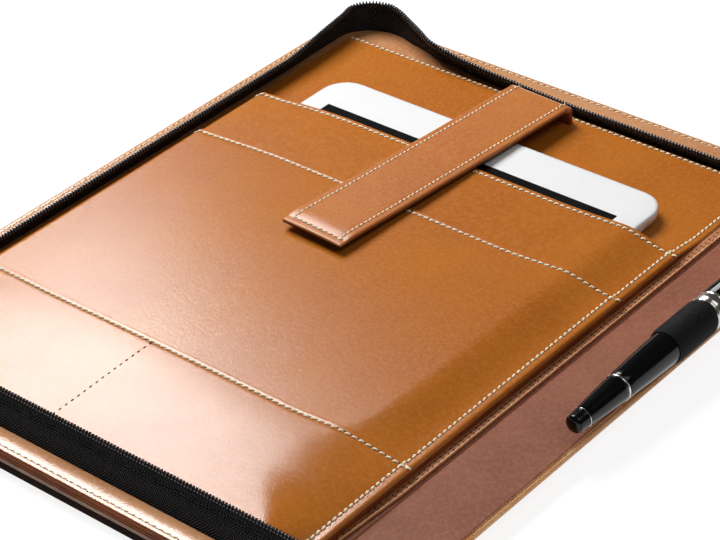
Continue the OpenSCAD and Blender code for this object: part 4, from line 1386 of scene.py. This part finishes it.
@dataclass
class Spine:
    """The leather spine: its mauve inner face, the strip beside the panel and both folds."""

    start: float = -1.8
    fold_reach: float = 2.5
    lip: float = -0.3
    roll: float = 0.7
    roll_t: float = 1.1
    strip_edge: float = 6.8
    strip_foot: float = 2.9
    strip_run: float = 52.0
    strip_short: float = 12.5
    strip_high: float = 1.2
    rim_inset: float = 10.6
    inset_fall: float = 10.2
    tape_inset: float = 7.8
    groove: float = 8.3
    sheet: float = 1.0
    middle_y: float = -140.0

    def over_left_fold(self, piece: bpy.types.Object) -> None:
        """Bakes a piece's place into its mesh; the ends of a bend over the left fold are worked
        out but not used.
        """
        x0, x1 = FOLD_A - self.fold_reach, FOLD_A + self.fold_reach
        a, b = row(np.array([[x0, self.middle_y, 0], [x1, self.middle_y, 0]]))
        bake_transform(piece)

    def face(self) -> None:
        """Makes the mauve sheet from under the panel to the right fold."""
        def inset(x: Array) -> Array:
            """Returns how far the sheet's ends are set in, beside the rim and beyond it."""
            return self.rim_inset - self.inset_fall * ease((x - FOLD_A + 2.2) / 0.8)

        def high(x: Array) -> Array:
            """Returns the sheet's upper border, which keeps below the zip tape's end."""
            return PAGE.high - inset(x) - self.tape_inset * (1 - ease((x - 6.3) / 0.8))

        def top(x: Array, y: Array) -> Array:
            """Returns the sheet's upper surface, with the crease beside the strip."""
            return PAGE.spine_face - 0.5 * np.exp(-((x - self.groove) / 0.35) ** 2)

        x1 = FOLD_B + self.lip
        folds = np.concatenate([np.linspace(6.2, FOLD_A - 3, 11),
                                np.linspace(FOLD_A - 3, FOLD_A + 3, 25)])
        sheet = Patch(self.start, x1, lambda x: PAGE.low + inset(x), high, top,
                      level(PAGE.spine_face - 0.85), (0.05, 0.3, 0.3, 0.3), round_under=0.1,
                      step=5.0, extra=folds)
        piece = add_piece("spine_face", sheet.shape(), "", "suede", (Finish.MAUVE, Finish.CUT_HIGHLIGHT),
                          ("back_suede_margin", "spine_lining"))
        self.over_left_fold(piece)

    def strip(self) -> None:
        """Makes the brown strip beside the panel, with its pale cut edge and its thread; the edge
        and a thin bead along it are painted pale as a highlight line.
        """
        low, high = PAGE.low + self.strip_short, self.strip_high

        def edge(y: Array) -> Array:
            """Returns where the strip's cut edge is."""
            near = np.clip((low + self.strip_run - y) / self.strip_run, 0, 1)
            return self.strip_edge - self.strip_foot * near

        patch = Patch(low, high, level(self.start), edge, level(PAGE.panel_under + 0.25),
                      level(PAGE.spine_face + 0.02), (0.3, 0.3, 0.05, 0.28), step=4.0)
        shape = turned(patch.shape(), lambda p: p[:, [1, 0, 2]])
        add_piece("margin_band", shape, "back_cover", "dark_leather", (Finish.BROWN, Finish.CUT_HIGHLIGHT),
                  ("margin_strip",))
        y = np.linspace(high - 1, low + 1, 200)
        runs = []
        for inside in (0.9, 2.2):
            x = edge(y) - inside
            clear = x > PAGE.panel_right + 0.9
            line = np.stack([x, y], 1)[clear]
            runs.append(Run.over(at_height(line, PAGE.panel_under + 0.27)))
        # The strip's two rows are drawn as needle holes alone: flat dark spots of painted shade.
        FINE_STITCH.pricked().along("margin_holes", runs, "back_cover", "dark_leather",
                                    Finish.DARK)
        # The lip is a thin bead in the pale cut-edge finish: a painted highlight line along the
        # strip's edge.
        z = PAGE.panel_under + 0.24
        lip = [[(edge(q) - 0.12 + 0.3 * math.cos(a), q, z + 0.2 * math.sin(a))
                for a in around(8)] for q in np.linspace(low + 0.4, high - 0.4, 120)]
        add_piece("margin_lip", loft(lip), "back_cover", "dark_leather", (Finish.CUT_HIGHLIGHT,))

    def folds(self) -> None:
        """Makes the spine's outer leather, a flat sheet over the left fold and the leather bent
        round the right fold.
        """
        low, high = level(PAGE.low), level(PAGE.high)
        upper, lower = level(PAGE.under + self.sheet), level(PAGE.under)
        a0, a1 = FOLD_A - self.fold_reach, FOLD_A + self.fold_reach
        ends = (0, 0, 0.2, 0.2)
        flat = Patch(a0, a1, low, high, upper, lower, ends, step=3.0,
                     extra=np.linspace(a0, a1, 21))
        piece = add_piece("left_fold", flat.shape(), "", "tan_leather",
                          (Finish.OUTER, Finish.EDGE))
        self.over_left_fold(piece)
        sheet = Patch(a1, FOLD_B - 0.4, low, high, upper, lower, ends, step=6.0)
        add_piece("spine_sheet", sheet.shape(), "spine", "tan_leather",
                  (Finish.OUTER, Finish.EDGE), ("spine_outer_leather",))
        self.roll_over()

    def roll_over(self) -> None:
        """Makes the leather that rolls round the right fold into the front cover."""
        reach = PAGE.roll_clear + 0.2
        bend = [(math.sin(t), math.cos(t)) for t in np.linspace(0, math.pi, 15)]
        back = np.linspace(-0.3, -reach, 8)
        ways = [(0.0, 1.0), *bend] + [(0.0, -1.0)] * len(back)
        path = [(-0.6, self.roll)] + [(self.roll * i, self.roll * j) for i, j in bend]
        path += [(x, -self.roll) for x in back]
        half = self.roll_t / 2
        outer = [(x + half * i, z + half * j) for (x, z), (i, j) in zip(path, ways)]
        inner = [(x - half * i, z - half * j) for (x, z), (i, j) in zip(path, ways)]
        section = outer + inner[::-1]
        ys = [PAGE.low + 0.02, PAGE.low + 0.25, *np.linspace(PAGE.low + 1, PAGE.high - 1, 30),
              PAGE.high - 0.25, PAGE.high - 0.02]
        loops = [[(FOLD_B + x, y, FOLD_Z + z) for x, z in section] for y in ys]
        # The whole roll takes the pale cut-edge finish rather than the tan leather it is: a
        # painted highlight line along the right fold.
        piece = add_piece("right_fold", loft(loops), "", "tan_leather", (Finish.CUT_HIGHLIGHT,))
        a, b = row(np.array([[FOLD_B, self.middle_y, FOLD_Z + 0.6],
                             [FOLD_B, self.middle_y, FOLD_Z - 0.6]]))
        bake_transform(piece)

    def build(self) -> None:
        """Makes the whole spine."""
        self.face()
        self.strip()
        self.folds()


# ---------------------------------------------------------------- strap


@dataclass
class Strap:
    """The closing strap: its root bent up from the panel, its long body and its thread."""

    x: float = -104.5
    turn: float = math.radians(-2.6)
    wide: float = 31.0
    thick: float = 2.6
    axis: tuple[float, float] = (-5.8, 6.4)
    tip: float = -145.0
    corner: float = 0.9
    seam_in: float = 3.3
    seam_wide: float = 0.8
    groove: float = 0.16
    crown: float = 0.3
    thin: float = 1.0
    thin_run: float = 9.0
    split: float = 0.75
    bend: float = 1.4
    line: tuple = ((-6.2, 7.8), (-20, 8.15), (-36, 8.6), (-63, 9.6), (-84, 10.2), (-103, 10.9),
                   (-124, 11.8), (-145, 12.8))

    def placed(self, points: Array) -> Array:
        """Returns points of the strap's own frame in the page frame."""
        points = np.asarray(points, float)
        c, s = math.cos(self.turn), math.sin(self.turn)
        x, y = points[..., 0], points[..., 1]
        return np.stack([self.x + c * x - s * y, s * x + c * y, points[..., 2]], -1)

    def under(self, x: Array, y: Array) -> Array:
        """Returns the strap's lower surface."""
        ys, zs = zip(*self.line[::-1])
        knots = np.linspace(ys[0], ys[-1], 9)
        soft = np.polyfit(knots, np.interp(knots, ys, zs), 4)
        return np.polyval(soft, y) + 0 * x

    def over(self, x: Array, y: Array) -> Array:
        """Returns the strap's upper surface, crowned, with a dip along its seam."""
        half = self.wide / 2
        crown = self.crown * (1 - (x / half) ** 2)
        sides = np.exp(-((np.abs(x) - half + self.seam_in) / self.seam_wide) ** 2)
        end = np.exp(-((y - self.tip - self.seam_in) / self.seam_wide) ** 2)
        inside = np.where(y < self.tip + self.seam_in + 1.5, end, sides)
        rolled = self.thin * ease((self.tip + self.thin_run - y) / self.thin_run)
        return self.under(x, y) + self.thick - 0.1 + crown - self.groove * inside - rolled

    def end(self, x: Array) -> Array:
        """Returns where the strap's tip ends, with its round corners."""
        inside = self.wide / 2 - np.abs(x)
        return self.tip + edge_drop(inside, self.corner)

    def body(self) -> None:
        """Makes the strap's top leather and its backing, whose dark brown and near-black edge are
        painted shade.
        """
        half, split = self.wide / 2, self.split
        start = self.line[0][0] + 0.25
        parts = (("strap_top", half, lambda x, y: self.under(x, y) + split, self.over, 0.75,
                  Finish.STRAP, Finish.EDGE, "tan_leather", ("strap_leather",)),
                 # The backing's dark brown face and near-black edge are painted shade under the
                 # strap's tip.
                 ("strap_backing", half - 0.2, self.under,
                  lambda x, y: self.under(x, y) + split - 0.02, 0.15, Finish.BACKING,
                  Finish.SHADE, "dark_leather", ("strap_lining",)))
        for name, w, low, high, r, face, edge, slot, nodes in parts:
            patch = Patch(-w, w, self.end, level(start), high, low, (r, r, r, 0.1), step=2.6)
            add_piece(name, turned(patch.shape(), self.placed), "strap", slot, (face, edge), nodes)

    def root(self) -> None:
        """Makes the root that bends from the panel up into the strap."""
        y0, z0 = self.axis
        middle = self.bend + self.thick / 2
        arc = [(y0 + middle * math.cos(t), z0 + middle * math.sin(t), t)
               for t in np.linspace(0, math.pi / 2, 13)]
        path = [(y0 + middle, PAGE.panel_face + d, 0.0) for d in (-0.2, 1.2, 2.8, 4.4)] + arc
        path += [(y0 - 0.7, z0 + middle, math.pi / 2)]
        half = self.wide / 2
        section = self.section(half, self.thick / 2)
        loops = [self.placed([(x, y + r * math.cos(t), z + r * math.sin(t)) for x, r in section])
                 for y, z, t in path]
        shape = loft(loops)
        n = len(loops[0])
        # The first nine stations, up the vertical part and round the start of the bend, wear the
        # darker edge finish as painted shade.
        dark = 9
        shape.marks = [1] * (dark * n) + [0] * ((len(path) - 1 - dark) * n) + [1, 0]
        piece = add_piece("strap_root", shape, "", "tan_leather", (Finish.STRAP, Finish.EDGE),
                          ("strap_anchor",))
        self.blended(piece)
        outer = self.bend + self.thick + 0.12
        runs = []
        for x in (-half + self.seam_in, half - self.seam_in):
            line = [(x, y0 + outer, z0 - d) for d in (3.6, 2.0, 0.6)]
            ups = [(0, 1, 0)] * 3
            for t in np.linspace(0, math.pi / 2, 9):
                line.append((x, y0 + outer * math.cos(t), z0 + outer * math.sin(t)))
                ups.append((0, math.cos(t), math.sin(t)))
            runs.append(Run(self.placed(np.array(line)), np.array(ups, float)))
        self.blended(STRAP_STITCH.along("strap_root_stitches", runs, "", "pale_leather",
                                        Finish.CREAM))

    def section(self, half: float, t: float) -> list[tuple[float, float]]:
        """Returns the root's section: (across, out) points of a rounded strip."""
        r = 0.7
        return [(sx * (half - r) + r * math.cos(a), sy * (t - r) + r * math.sin(a))
                for sx, sy, first in ((1, 1, 0), (-1, 1, 90), (-1, -1, 180), (1, -1, 270))
                for a in np.radians(np.linspace(first, first + 90, 5))]

    def blended(self, piece: bpy.types.Object) -> None:
        """Bakes a piece's place into its mesh; the ends of a bend into the strap are worked out
        but not used.
        """
        y0, z0 = self.axis
        middle = self.bend + self.thick / 2
        ends = self.placed(np.array([[0, y0 + middle, z0 - 0.4], [0, y0, z0 + middle]]))
        a, b = row(ends)
        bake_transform(piece)

    def thread(self) -> None:
        """Sews round the strap."""
        half = self.wide / 2 - self.seam_in
        tip = self.tip + self.seam_in
        start = self.line[0][0]
        y = np.linspace(start, tip, 120)
        x = np.linspace(-half, half, 30)
        runs = []
        for x, y in ((np.full_like(y, half), y), (np.full_like(y, -half), y),
                     (x, np.full_like(x, tip))):
            z = self.over(x, y)
            slope = self.over(x, y + 1) - z
            ups = np.stack([np.zeros_like(z), -np.clip(slope, -0.1, 0.1), np.ones_like(z)], 1)
            runs.append(Run(self.placed(np.stack([x, y, z], 1)), ups))
        STRAP_STITCH.sew("strap", runs, "strap")

    def build(self) -> None:
        """Makes the whole strap."""
        self.body()
        self.root()
        self.thread()


# ---------------------------------------------------------------- tablet and pen


@dataclass
class Tablet:
    """The tablet's shell and white glass; its other parts are CAD nodes."""

    w: float = 169.5
    h: float = 240.0
    right: float = -17.0
    top: float = -37.2
    r: float = 12.0
    back: float = 1.65
    t: float = 6.1
    wall: float = 1.2
    bezel_side: float = 10.6
    bezel_end: float = 21.0
    glass_t: float = 0.8

    def build(self) -> None:
        """Makes the shell with its bevelled rim, and the glass."""
        cx, cy = self.right - self.w / 2, self.top - self.h / 2
        outline = rounded_rect(cx, cy, self.w, self.h, self.r)
        z0, z1 = self.back, self.back + self.t
        shell = [(7.0, z0), (3.4, z0 + 0.22), (1.7, z0 + 0.8), (0.7, z0 + 1.7), (0.15, z0 + 3.0),
                 (0.0, z0 + 4.2), (0.0, z1 - 0.62), (0.22, z1 - 0.3), (0.5, z1 - 0.12),
                 (0.8, z1 - 0.1), (self.wall, z1 - 0.1), (self.wall, z0 + 0.9)]
        add_piece("tablet_shell", stacked(outline, shell), "tablet", "tablet_case", (Finish.CASE,),
                  ("tablet_housing",), crease=35.0)
        self.glass(outline, cx, cy, z1)

    def glass(self, outline: Outline, cx: float, cy: float, z1: float) -> None:
        """Makes the white glass as a frame round the screen."""
        z0 = z1 - self.glass_t
        sw, sh = self.w - 2 * self.bezel_side, self.h - 2 * self.bezel_end
        steps = [(1.25, z0), (1.25, z1 - 0.3), (1.0, z1 - 0.14), (1.1, z1 - 0.05), (1.35, z1)]
        opening = rounded_rect(cx, cy, sw, sh, 0.3)(0.0)
        rings = [at_height(outline(i), z) for i, z in steps]
        rings += [at_height(opening, z) for z in (z1, z0)]
        add_piece("tablet_glass", loft(rings, ring=True), "tablet", "white_glass",
                  (Finish.GLASS,), ("tablet_bezel",), crease=60.0)


@dataclass
class Pen:
    """The pen in its ribbed elastic loop, turned about its own axis."""

    x: float = 36.2
    y: float = -107.0
    z: float = 7.2
    barrel: float = 6.5
    cap: float = 6.9
    tail: float = 3.8
    loop_long: float = 24.5
    ring_at: float = -42.0
    tail_end: float = -70.0
    cap_end: float = 77.0
    band_low: float = 12.9
    band_high: float = 19.9
    ring: float = 5.5
    sides: int = 72
    crease: float = 38.0

    def circle(self, radius: float, along: float, sides: int) -> Array:
        """Returns a circle of points about the pen's axis."""
        angles, r = around(sides), max(radius, 0.01)
        return np.stack([self.x + r * np.cos(angles), np.full(sides, self.y + along),
                         self.z + r * np.sin(angles)], 1)

    def turned(self, profile: Sequence[tuple[float, float]], ring: bool = False) -> Shape:
        """Turns (radius, place along) points about the pen's axis."""
        return loft([self.circle(r, a, self.sides) for r, a in profile], ring)

    def add(self, name: str, shape: Shape, body: str, node: str) -> None:
        """Adds one turned part: silver for the rings and the band, and otherwise black resin."""
        silver = node in ("pen_rings", "pen_cap_band")
        add_piece(name, shape, body, "pen_silver" if silver else "pen_black",
                  (Finish.SILVER if silver else Finish.RESIN,), (node,), crease=self.crease)

    def build(self) -> None:
        """Makes the whole pen and its loop."""
        self.body()
        self.cap_parts()
        self.clip()
        self.loop()

    def body(self) -> None:
        """Makes the barrel, the tapered end and the two thin rings."""
        ring, tail, end = self.ring, self.tail, self.tail_end
        barrel = [(0, self.ring_at + 0.5), (ring - 0.25, self.ring_at + 0.5),
                  (ring - 0.08, self.ring_at + 0.75)]
        barrel += [(ring + (self.barrel - ring) * math.sin(math.pi / 2 * t),
                    self.ring_at + 1 + 34 * t) for t in np.linspace(0, 1, 12)]
        barrel += [(self.barrel, 12.5), (self.barrel - 0.25, 12.8), (4.4, 12.8),
                   (4.4, self.ring_at + 4)]
        self.add("pen_body", self.turned(barrel), "pen", "pen_barrel")
        cone = [(0, self.ring_at - 0.5), (ring - 0.3, self.ring_at - 0.5),
                (ring - 0.12, self.ring_at - 0.8)]
        wide = ring - 0.12
        cone += [(wide - (wide - tail - 0.25) * t ** 1.1, self.ring_at - 0.8 - 20 * t)
                 for t in np.linspace(0.05, 1, 9)]
        cone += [(tail + 0.25, end + 6.95), (tail + 0.08, end + 6.9), (tail + 0.08, end + 6.1),
                 (tail + 0.22, end + 6.0)]
        cone += [(tail + 0.2 - 0.35 * t, end + 6.0 - 4.2 * t) for t in np.linspace(0.1, 1, 5)]
        cone += [((tail - 0.15) * math.cos(t), end + 1.8 - 1.8 * math.sin(t))
                 for t in np.linspace(0.12, math.pi / 2, 9)]
        self.add("pen_end", self.turned(cone), "pen", "pen_tail")
        rings = self.hoop(ring + 0.1, 3.0, self.ring_at - 0.48, self.ring_at + 0.48)
        rings = rings.joined(self.hoop(tail + 0.32, tail, end + 6.3, end + 6.7))
        self.add("pen_hoops", rings, "pen", "pen_rings")

    def cap_parts(self) -> None:
        """Makes the cap and its grooved band."""
        low, high, r = self.band_low, self.band_high, self.cap
        band_steps = [(5.5, low), (r - 0.35, low), (r - 0.05, low + 0.35), (r + 0.1, low + 0.9),
                      (r - 0.12, low + 1.3), (r - 0.12, low + 1.6), (r + 0.1, low + 2.0),
                      (r + 0.14, (low + high) / 2), (r + 0.1, high - 2.0), (r - 0.12, high - 1.6),
                      (r - 0.12, high - 1.3), (r + 0.1, high - 0.9), (r, high - 0.3),
                      (r - 0.2, high), (5.5, high)]
        self.add("cap_band", self.turned(band_steps), "cap", "pen_cap_band")
        crown = [(5.5, high + 0.05), (r - 0.15, high + 0.05), (r, high + 0.3), (r, 54)]
        crown += [(r - 0.7 * t * t, 54 + (self.cap_end - 60) * t) for t in np.linspace(0.1, 1, 7)]
        top = self.cap_end - 6
        crown += [((r - 0.7) * math.cos(t), top + 6 * math.sin(t))
                  for t in np.linspace(0.15, math.pi / 2 - 0.03, 10)]
        crown += [(0, self.cap_end), (0, 64), (4.8, 60)]
        self.add("cap_shell", self.turned(crown), "cap", "pen_cap")

    def hoop(self, outer: float, inner: float, a: float, b: float) -> Shape:
        """Returns a rounded ring round the pen's axis."""
        return self.turned([(inner, a), (outer - 0.15, a), (outer, a + 0.2), (outer, b - 0.2),
                            (outer - 0.15, b), (inner, b)], ring=True)

    def clip(self) -> None:
        """Makes the cap's clip: a tapered spring with a ball at its end."""
        up = self.z + self.cap + 1.3
        loops = []
        for a, w, t, rise in ((30.2, 0.5, 0.3, 0.1), (31, 1.1, 0.5, 0), (34, 1.5, 0.7, 0),
                              (50, 1.7, 0.85, 0.25), (66, 1.7, 0.85, 0), (71, 1.6, 0.9, -0.5),
                              (72, 1.4, 0.8, -1.3)):
            loops.append([(self.x + w * math.cos(q), self.y + a,
                           up + rise + 0.4 + t / 2 * math.sin(q)) for q in around(12)])
        r, at = 0.85, 32
        ball = [[(self.x + r * math.sin(p) * math.cos(q), self.y + at + r * math.cos(p),
                  up - 0.1 + r * math.sin(p) * math.sin(q)) for q in around(16)]
                for p in np.linspace(0.05, math.pi - 0.05, 12)]
        add_piece("cap_clip", loft(loops).joined(loft(ball)), "cap", "pen_silver",
                  (Finish.SILVER,), ("pen_clip",))

    def loop(self) -> None:
        """Makes the ribbed elastic loop, flattened where it is sewn to the spine."""
        half, ribs, floor = self.loop_long / 2, 22, PAGE.spine_face + 0.03
        inner, outer, rise = self.barrel + 0.12, self.barrel + 0.82, 0.17
        steps, sides = ribs * 6, 80
        loops = []
        for i in range(steps + 1):
            t = i / steps
            rib = 2 * rise * abs(math.sin(math.pi * ribs * t)) - rise
            lip = 0.3 * (1 - min(1.0, 14 * min(t, 1 - t)))
            loops.append((outer - 0.14 + rib - lip, -half + 2 * half * t))
        loops += [(inner, half - 0.05), (inner, -half + 0.05)]
        rings = np.array([self.circle(r, a, sides) for r, a in loops])
        rings[..., 2] = np.maximum(rings[..., 2], floor)
        add_piece("elastic_loop", loft(rings, ring=True), "pen_holder", "elastic",
                  (Finish.ELASTIC,), ("pen_loop",), crease=70.0)


# ---------------------------------------------------------------- CAD nodes and scene


KEPT_FINISHES = {
    "back_board": Finish.BOARD, "spine_board": Finish.BOARD, "front_board": Finish.BOARD,
    "keeper_plate": Finish.STEEL, "strap_magnet": Finish.STEEL,
    "back_zip_stops": Finish.ENAMEL, "front_zip_stops": Finish.ENAMEL,
    "slider_body": Finish.ENAMEL, "slider_bridge": Finish.ENAMEL, "slider_pull": Finish.ENAMEL,
    "tablet_display": Finish.SCREEN, "tablet_battery": Finish.CELLS,
    "tablet_logic_board": Finish.CIRCUIT, "tablet_speakers": Finish.PLASTIC,
    "tablet_dock_socket": Finish.PLASTIC, "tablet_camera": Finish.LENS,
    "home_button": Finish.GLASS, "sleep_button": Finish.CASE, "volume_button": Finish.CASE,
    "side_switch": Finish.CASE, "pen_section": Finish.RESIN, "pen_nib": Finish.NIB,
    "pen_cartridge": Finish.INK,
}


def dress_kept_nodes() -> None:
    """Gives every CAD node that still shows its finish."""
    for name, finish in KEPT_FINISHES.items():
        mesh = frame["nodes"][name].data
        mesh.materials.clear()
        mesh.materials.append(Palette.get(finish))
        mesh.polygons.foreach_set("material_index", [0] * len(mesh.polygons))


@dataclass
class Studio:
    """The floor, the lamps, the world and the camera."""

    lens: float = 128.72
    target: tuple[float, float, float] = (-92.795, -137.941, 0.0)
    distance: float = 997.1
    azimuth: float = math.radians(41.4365)
    elevation: float = math.radians(34.1707)
    roll: float = math.radians(-3.0167)
    sky_heights: tuple[float, float] = (0.02, 0.16)
    sky_strengths: tuple[float, float] = (1.0, 0.07)
    floor_reach: float = 6.0
    floor_glow: float = 0.87

    def camera(self) -> None:
        """Sets up the camera."""
        ca, sa = math.cos(self.azimuth), math.sin(self.azimuth)
        ce, se = math.cos(self.elevation), math.sin(self.elevation)
        back = Vector((sa * ce, -ca * ce, se))
        side = Vector((0, 0, 1)).cross(back).normalized()
        up = back.cross(side)
        c, s = math.cos(self.roll), math.sin(self.roll)
        x, y = c * side + s * up, c * up - s * side
        place = Vector(row(np.array(self.target))) + back * (self.distance * MM)
        camera = bpy.data.cameras.new("camera")
        camera.lens, camera.sensor_width, camera.clip_start = self.lens, 36.0, 0.01
        holder = bpy.data.objects.new("camera", camera)
        holder.matrix_world = Matrix(((x.x, y.x, back.x, place.x), (x.y, y.y, back.y, place.y),
                                      (x.z, y.z, back.z, place.z), (0, 0, 0, 1)))
        bpy.context.scene.collection.objects.link(holder)
        bpy.context.scene.camera = holder

    def lamp(self, name: str, azimuth: float, elevation: float, distance: float,
             size: tuple[float, float], power: float, spin: float = 0.0) -> None:
        """Adds a soft rectangular lamp that faces the organiser.

        Args:
            name: the lamp's name.
            azimuth: degrees from +X towards +Y.
            elevation: degrees above the table.
            distance: metres from the organiser.
            size: width and height in metres.
            power: watts.
            spin: degrees that the lamp is turned about its own axis.
        """
        data = bpy.data.lights.new(name, "AREA")
        data.shape, data.size, data.size_y, data.energy = "RECTANGLE", size[0], size[1], power
        a, e = math.radians(azimuth), math.radians(elevation)
        way = Vector((math.cos(a) * math.cos(e), math.sin(a) * math.cos(e), math.sin(e)))
        lamp = bpy.data.objects.new(name, data)
        turn = way.to_track_quat("Z", "Y").to_matrix().to_4x4() @ Matrix.Rotation(
            math.radians(spin), 4, "Z")
        lamp.matrix_world = Matrix.Translation(way * distance) @ turn
        bpy.context.scene.collection.objects.link(lamp)

    def world(self) -> None:
        """Makes a pale studio sky: white at the horizon and grey overhead."""
        world = bpy.data.worlds.new("studio")
        world.use_nodes = True
        tree = world.node_tree
        tree.nodes.clear()
        out, sky, where, parts, ramp = (tree.nodes.new("ShaderNode" + kind) for kind in (
            "OutputWorld", "Background", "TexCoord", "SeparateXYZ", "MapRange"))
        ramp.interpolation_type = "SMOOTHSTEP"
        for key, value in enumerate((*self.sky_heights, *self.sky_strengths), 1):
            ramp.inputs[key].default_value = value
        sky.inputs["Color"].default_value = (1, 1, 1, 1)
        for source, target in ((where.outputs["Generated"], parts.inputs[0]),
                               (parts.outputs[2], ramp.inputs["Value"]),
                               (ramp.outputs[0], sky.inputs["Strength"]),
                               (sky.outputs[0], out.inputs[0])):
            tree.links.new(source, target)
        bpy.context.scene.world = world

    def floor(self) -> None:
        """Makes the white table top."""
        mesh = bpy.data.meshes.new("table_top")
        reach = self.floor_reach
        mesh.from_pydata([(-reach, -reach, 0), (reach, -reach, 0), (reach, reach, 0),
                          (-reach, reach, 0)], [], [(0, 1, 2, 3)])
        table = bpy.data.objects.new("table_top", mesh)
        bpy.context.scene.collection.objects.link(table)
        s = Shader("table_white")
        glow = s.add("ShaderNodeEmission", {"Color": (1, 1, 1, 1)})
        path = s.add("ShaderNodeLightPath")
        seen = s.math("MAXIMUM", path.outputs["Is Camera Ray"], path.outputs["Is Glossy Ray"])
        seen = s.math("MAXIMUM", seen, path.outputs["Is Transmission Ray"])
        white = s.mix(s.noise(s.coords(), 3), (0.9, 0.9, 0.9, 1), (0.94, 0.94, 0.94, 1))
        white = s.mix(seen, white, (0.28, 0.28, 0.28, 1))
        s.finish(white, 0.9, Specular_IOR_Level=0.0)
        s.join(s.math("MULTIPLY", seen, self.floor_glow), glow.inputs["Strength"])
        both = s.add("ShaderNodeAddShader", {0: s.bsdf.outputs[0], 1: glow.outputs[0]})
        s.join(both.outputs[0], s.out.inputs["Surface"])
        mesh.materials.append(s.material)

    def build(self) -> None:
        """Sets the whole scene."""
        self.camera()
        self.world()
        self.floor()
        self.lamp("key_softbox", 157.4, 49.6, 1.25, (0.7, 0.7), 18.6, spin=9)
        self.lamp("right_fill", 20, 60, 1.6, (0.9, 0.9), 3.6)
        bpy.context.scene.view_settings.view_transform = "Standard"


def main() -> None:
    """Builds the organiser and its studio in order."""
    logging.basicConfig(level=logging.INFO, format="%(name)s: %(message)s")
    Studio().build()
    Cover("back", "back_cover", False, FOLD_A - Spine.fold_reach, lip=0.33, rim_top=0.0,
          seam_in=2.2).build()
    Cover("front", "front_cover", True, FOLD_A - PAGE.roll_clear, lip=0.0,
          rim_top=PAGE.front_rim).build()
    BackBase().build()
    FrontInside().build()
    Spine().build()
    PocketStack().build()
    Zip("back", "back_cover", BACK_TAPE, False).build()
    Zip("front", "front_cover", FRONT_TAPE, True).build()
    Strap().build()
    Tablet().build()
    Pen().build()
    dress_kept_nodes()


if __name__ == "__main__":
    main()
